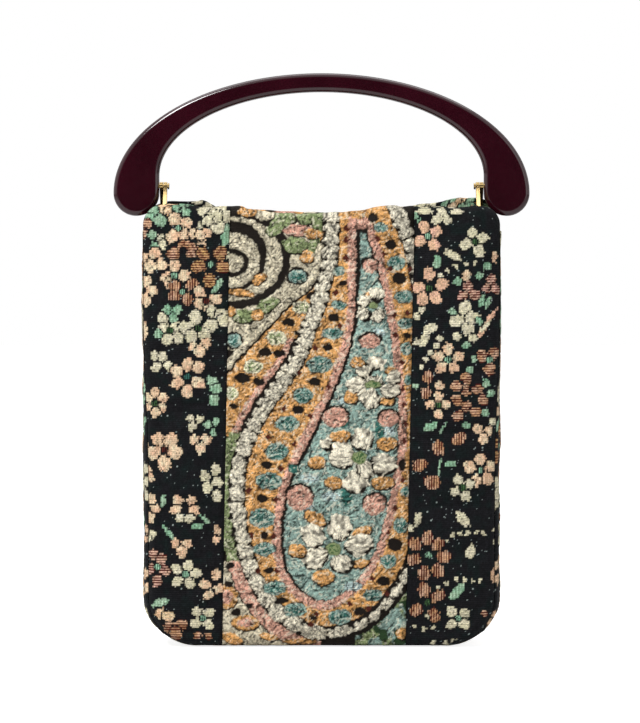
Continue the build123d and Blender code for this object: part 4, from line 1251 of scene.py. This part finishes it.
def handle_plate(material):
    """The handle with its buffed, rounded edges."""
    points, normals = handle_outline()
    half = box_mm("handle")[1][1]
    rings = [(HANDLE_ROUND + 2.0, half), (HANDLE_ROUND + 0.2, half)]
    for angle in np.linspace(0, math.pi / 2, 9):
        inset, drop = (HANDLE_ROUND * (1 - turn(angle)) for turn in (math.sin, math.cos))
        rings.append((inset, half - drop))
    rings += [(inset, -depth) for inset, depth in reversed(rings)]
    count = len(points)
    rows = []
    for inset, depth in rings:
        flat = points - normals * inset
        rows.append(np.stack([flat[:, 0], np.full(count, -depth), flat[:, 1]], -1))
    last = (len(rings) - 1) * count
    faces = [list(range(count)), list(range(last, last + count))[::-1]]
    for start in range(0, last, count):
        for index in range(count):
            after = (index + 1) % count
            corners = (index, index + count, after + count, after)
            faces.append([start + corner for corner in corners])
    piece = link_mesh("handle_plate", rows, faces, material)
    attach(piece, "handle")
    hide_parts("handle")


def fill(tree, node, values):
    """Sets or links the sockets of a shader node, and sets its other properties."""
    for name, value in values.items():
        if name not in node.inputs:
            setattr(node, name, value)
        elif isinstance(value, bpy.types.NodeSocket):
            tree.links.new(value, node.inputs[name])
        else:
            node.inputs[name].default_value = value


def add_node(tree, kind, **values):
    """Adds a shader node and gives its outputs; a socket's name is written with underscores."""
    node = tree.nodes.new("ShaderNode" + kind)
    plain = {name.replace("_", " "): name for name in values}
    fill(tree, node, {spaced if spaced in node.inputs else name: values[name]
                      for spaced, name in plain.items()})
    return node.outputs


def new_material(name):
    """A new material with its node tree and shader."""
    material = bpy.data.materials.new(name)
    material.use_nodes = True
    return material, material.node_tree, material.node_tree.nodes["Principled BSDF"]


def on_object(tree):
    """Places in the object's own frame."""
    return add_node(tree, "TexCoord")["Object"]


def grains(tree, scale, detail):
    """Fine noise fixed to the object."""
    return add_node(tree, "TexNoise", Scale=scale, Detail=detail, Vector=on_object(tree))["Fac"]


def bands(tree, direction, pitch):
    """Fine parallel ribs across X or Z; pitch in metres."""
    return add_node(tree, "TexWave", wave_type="BANDS", bands_direction=direction,
                    Scale=2 * math.pi / (20 * pitch), Distortion=0.6, Detail_Scale=2.0,
                    Vector=on_object(tree))["Fac"]


def spread(tree, value, low, high, **limits):
    """A value from 0 to 1, or between its limits, spread from low to high."""
    return add_node(tree, "MapRange", Value=value, To_Min=low, To_Max=high, **limits)["Result"]


def bump(tree, height, strength, distance):
    """The normal of a surface with a relief."""
    return add_node(tree, "Bump", Strength=strength, Distance=distance, Height=height)["Normal"]


def ramp(tree, value, tones, places=(0, 1)):
    """A value turned into a blend of two tones."""
    node = tree.nodes.new("ShaderNodeValToRGB")
    for element, place, tone in zip(node.color_ramp.elements, places, tones):
        element.position = place
        element.color = (*tone, 1)
    tree.links.new(value, node.inputs["Fac"])
    return node.outputs["Color"]


def combine(tree, operation, first, second):
    """Arithmetic on two values, each a constant or an output."""
    node = tree.nodes.new("ShaderNodeMath")
    node.operation = operation
    for socket, value in zip(node.inputs, (first, second)):
        if isinstance(value, (int, float)):
            socket.default_value = value
        else:
            tree.links.new(value, socket)
    return node.outputs["Value"]


def cloth_material(name, roughness, sheen, thread_size, rib_pitch, bump_depth):
    """Woven cloth: the threads' colours with fine variation, ribs and thread bumps."""
    material, tree, shader = new_material(name)
    tone = add_node(tree, "Attribute", attribute_name="thread_colour")["Color"]
    grain = grains(tree, 1 / thread_size, 2.0)
    level = spread(tree, grain, 0.72, 1.25, From_Min=0.3, From_Max=0.7)
    ribs, warp = bands(tree, "Z", rib_pitch), bands(tree, "X", rib_pitch * WARP_SHARE)
    weave = combine(tree, "MULTIPLY", ribs, warp)
    height = combine(tree, "ADD", combine(tree, "MULTIPLY", weave, 0.6), grain)
    fill(tree, shader, {
        "Base Color": add_node(tree, "Mix", data_type="RGBA", blend_type="MULTIPLY", Factor=1.0,
                               A=tone, B=level)["Result"],
        "Normal": bump(tree, height, 0.8, bump_depth), "Roughness": roughness,
        "Sheen Weight": sheen, "Sheen Roughness": 0.5, "Specular IOR Level": 0.12,
    })
    return material


def lining_material():
    """Dark plain-woven lining."""
    material, tree, shader = new_material("lining_twill")
    fill(tree, shader, {
        "Base Color": ramp(tree, grains(tree, 900.0, 3.0), LINING_TONES),
        "Normal": bump(tree, bands(tree, "DIAGONAL", 0.0011), 0.5, 0.0002),
        "Roughness": 0.85, "Sheen Weight": 0.15,
    })
    return material


def resin_material():
    """Polished dark burgundy resin with faint clouds and buffing haze."""
    material, tree, shader = new_material("burgundy_resin")
    fill(tree, shader, {
        "Base Color": ramp(tree, grains(tree, 28.0, 4.0), RESIN_TONES, (0.35, 0.7)),
        "Roughness": spread(tree, grains(tree, 320.0, 3.0), 0.10, 0.20),
        "Specular IOR Level": 0.4, "Coat Weight": 0.4, "Coat Roughness": 0.05,
    })
    return material


def gold_material():
    """Polished pale gold with fine handling marks."""
    material, tree, shader = new_material("gold_plate")
    marks = grains(tree, 700.0, 4.0)
    fill(tree, shader, {
        "Base Color": ramp(tree, marks, GOLD_TONES), "Roughness": spread(tree, marks, 0.12, 0.30),
        "Normal": bump(tree, marks, 0.15, 0.0001), "Metallic": 1.0,
    })
    return material


def dress(nodes, material):
    """Gives carried-over CAD nodes their finish."""
    for name in nodes:
        for held in frame["nodes"][name].material_slots:
            held.material = material


def world():
    """A white studio: white behind the object, and a plain level of light on it."""
    studio = bpy.data.worlds.new("studio")
    bpy.context.scene.world = studio
    studio.use_nodes = True
    tree = studio.node_tree
    tree.nodes.clear()
    path = add_node(tree, "LightPath")
    depth = add_node(tree, "SeparateXYZ", Vector=add_node(tree, "TexCoord")["Generated"])["Y"]
    front = add_node(tree, "MapRange", Value=combine(tree, "ABSOLUTE", depth, 0.0),
                     From_Min=DARK_FRONT[0], From_Max=DARK_FRONT[1])["Result"]
    mirrored = combine(tree, "MULTIPLY", path["Is Glossy Ray"], front)
    other = combine(tree, "SUBTRACT", 1.0, path["Is Glossy Ray"])
    glow = combine(tree, "ADD", mirrored, combine(tree, "MULTIPLY", other, AMBIENT))
    seen = combine(tree, "MAXIMUM", path["Is Camera Ray"], path["Is Transmission Ray"])
    level = combine(tree, "MAXIMUM", glow, seen)
    back = add_node(tree, "Background", Color=(1, 1, 1, 1), Strength=level)
    add_node(tree, "OutputWorld", Surface=back["Background"])


def lamp(name, place, size, energy):
    """A rectangular lamp aimed at the bag."""
    light = bpy.data.lights.new(name, "AREA")
    light.shape = "RECTANGLE"
    light.size, light.size_y = size
    light.energy = energy
    holder = link(name, light)
    holder.location = place
    x, y, z = np.array(LAMP_AIM) - np.array(place)
    turn = math.atan2(y, x) - math.pi / 2
    holder.rotation_euler = (math.atan2(z, math.hypot(x, y)) + math.pi / 2, 0, turn)


def floor():
    """A pale floor that shows white to the camera, apart from the object's soft shadow."""
    material, tree, shader = new_material("floor_white")
    seen = add_node(tree, "LightPath")["Is Camera Ray"]
    fill(tree, shader, {
        "Base Color": (FLOOR_TONE, FLOOR_TONE, FLOOR_TONE, 1), "Roughness": 0.9,
        "Specular IOR Level": 0.1, "Emission Color": (1, 1, 1, 1),
        "Emission Strength": combine(tree, "MULTIPLY", seen, FLOOR_LIFT),
    })
    corners = [(x * FLOOR_REACH, y * FLOOR_REACH, -FLOOR_DROP)
               for x, y in ((-1, -1), (1, -1), (1, 1), (-1, 1))]
    piece = link_mesh("floor", corners, [(0, 1, 2, 3)], material)


def camera():
    """Nearly level with the bag, from far in front."""
    lens = bpy.data.cameras.new("camera")
    lens.sensor_fit = "HORIZONTAL"
    lens.sensor_width = SENSOR_WIDTH
    lens.lens = SENSOR_WIDTH * CAMERA_DISTANCE / FIELD_WIDTH
    holder = link("camera", lens)
    rise = math.radians(CAMERA_ELEVATION)
    x, y, z = CAMERA_TARGET
    back, up = CAMERA_DISTANCE * math.cos(rise), CAMERA_DISTANCE * math.sin(rise)
    holder.location = (x, y - back, z + up)
    holder.rotation_euler = (math.pi / 2 - rise, 0, 0)
    bpy.context.scene.camera = holder


def build_cloth():
    """The strips of both faces, the gusset and the lining."""
    floral = cloth_material("floral_jacquard", *FLORAL_LOOK)
    paisley = cloth_material("paisley_matelasse", *PAISLEY_LOOK)
    for face in SEEDS:
        moved = blow_cloth(face)
        for strip in STRIPS:
            step = BACK_STEP
            if face == "front":
                step = CENTRE_STEP if strip == "centre" else SIDE_STEP
            material = paisley if strip == "centre" else floral
            piece = face_strip(face, strip, step, material, moved)
            if strip == "centre":
                prints = ("teal", "pink", "orange", "dark")
                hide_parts(face + "_paisley_panel",
                            *[face + "_" + colour + "_print" for colour in prints])
            else:
                prints = ("cream", "green") if strip == "left" else ("peach", "striped")
                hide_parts(face + "_" + strip + "_floral_panel",
                            *[face + "_" + colour + "_print" for colour in prints])
    band = gusset(floral)
    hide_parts("gusset_band", "gusset_flowers", "gusset_leaves")
    pocket = lining(lining_material())
    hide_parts("lining")


def main():
    """The dressed bag in its studio."""
    bpy.context.scene.view_settings.view_transform = "Standard"
    build_cloth()
    fittings = [name for name in frame["nodes"] if "strap" in name or "pin" in name]
    dress(fittings, gold_material())
    handle_plate(resin_material())
    world()
    floor()
    for values in LAMPS:
        lamp(*values)
    camera()


main()
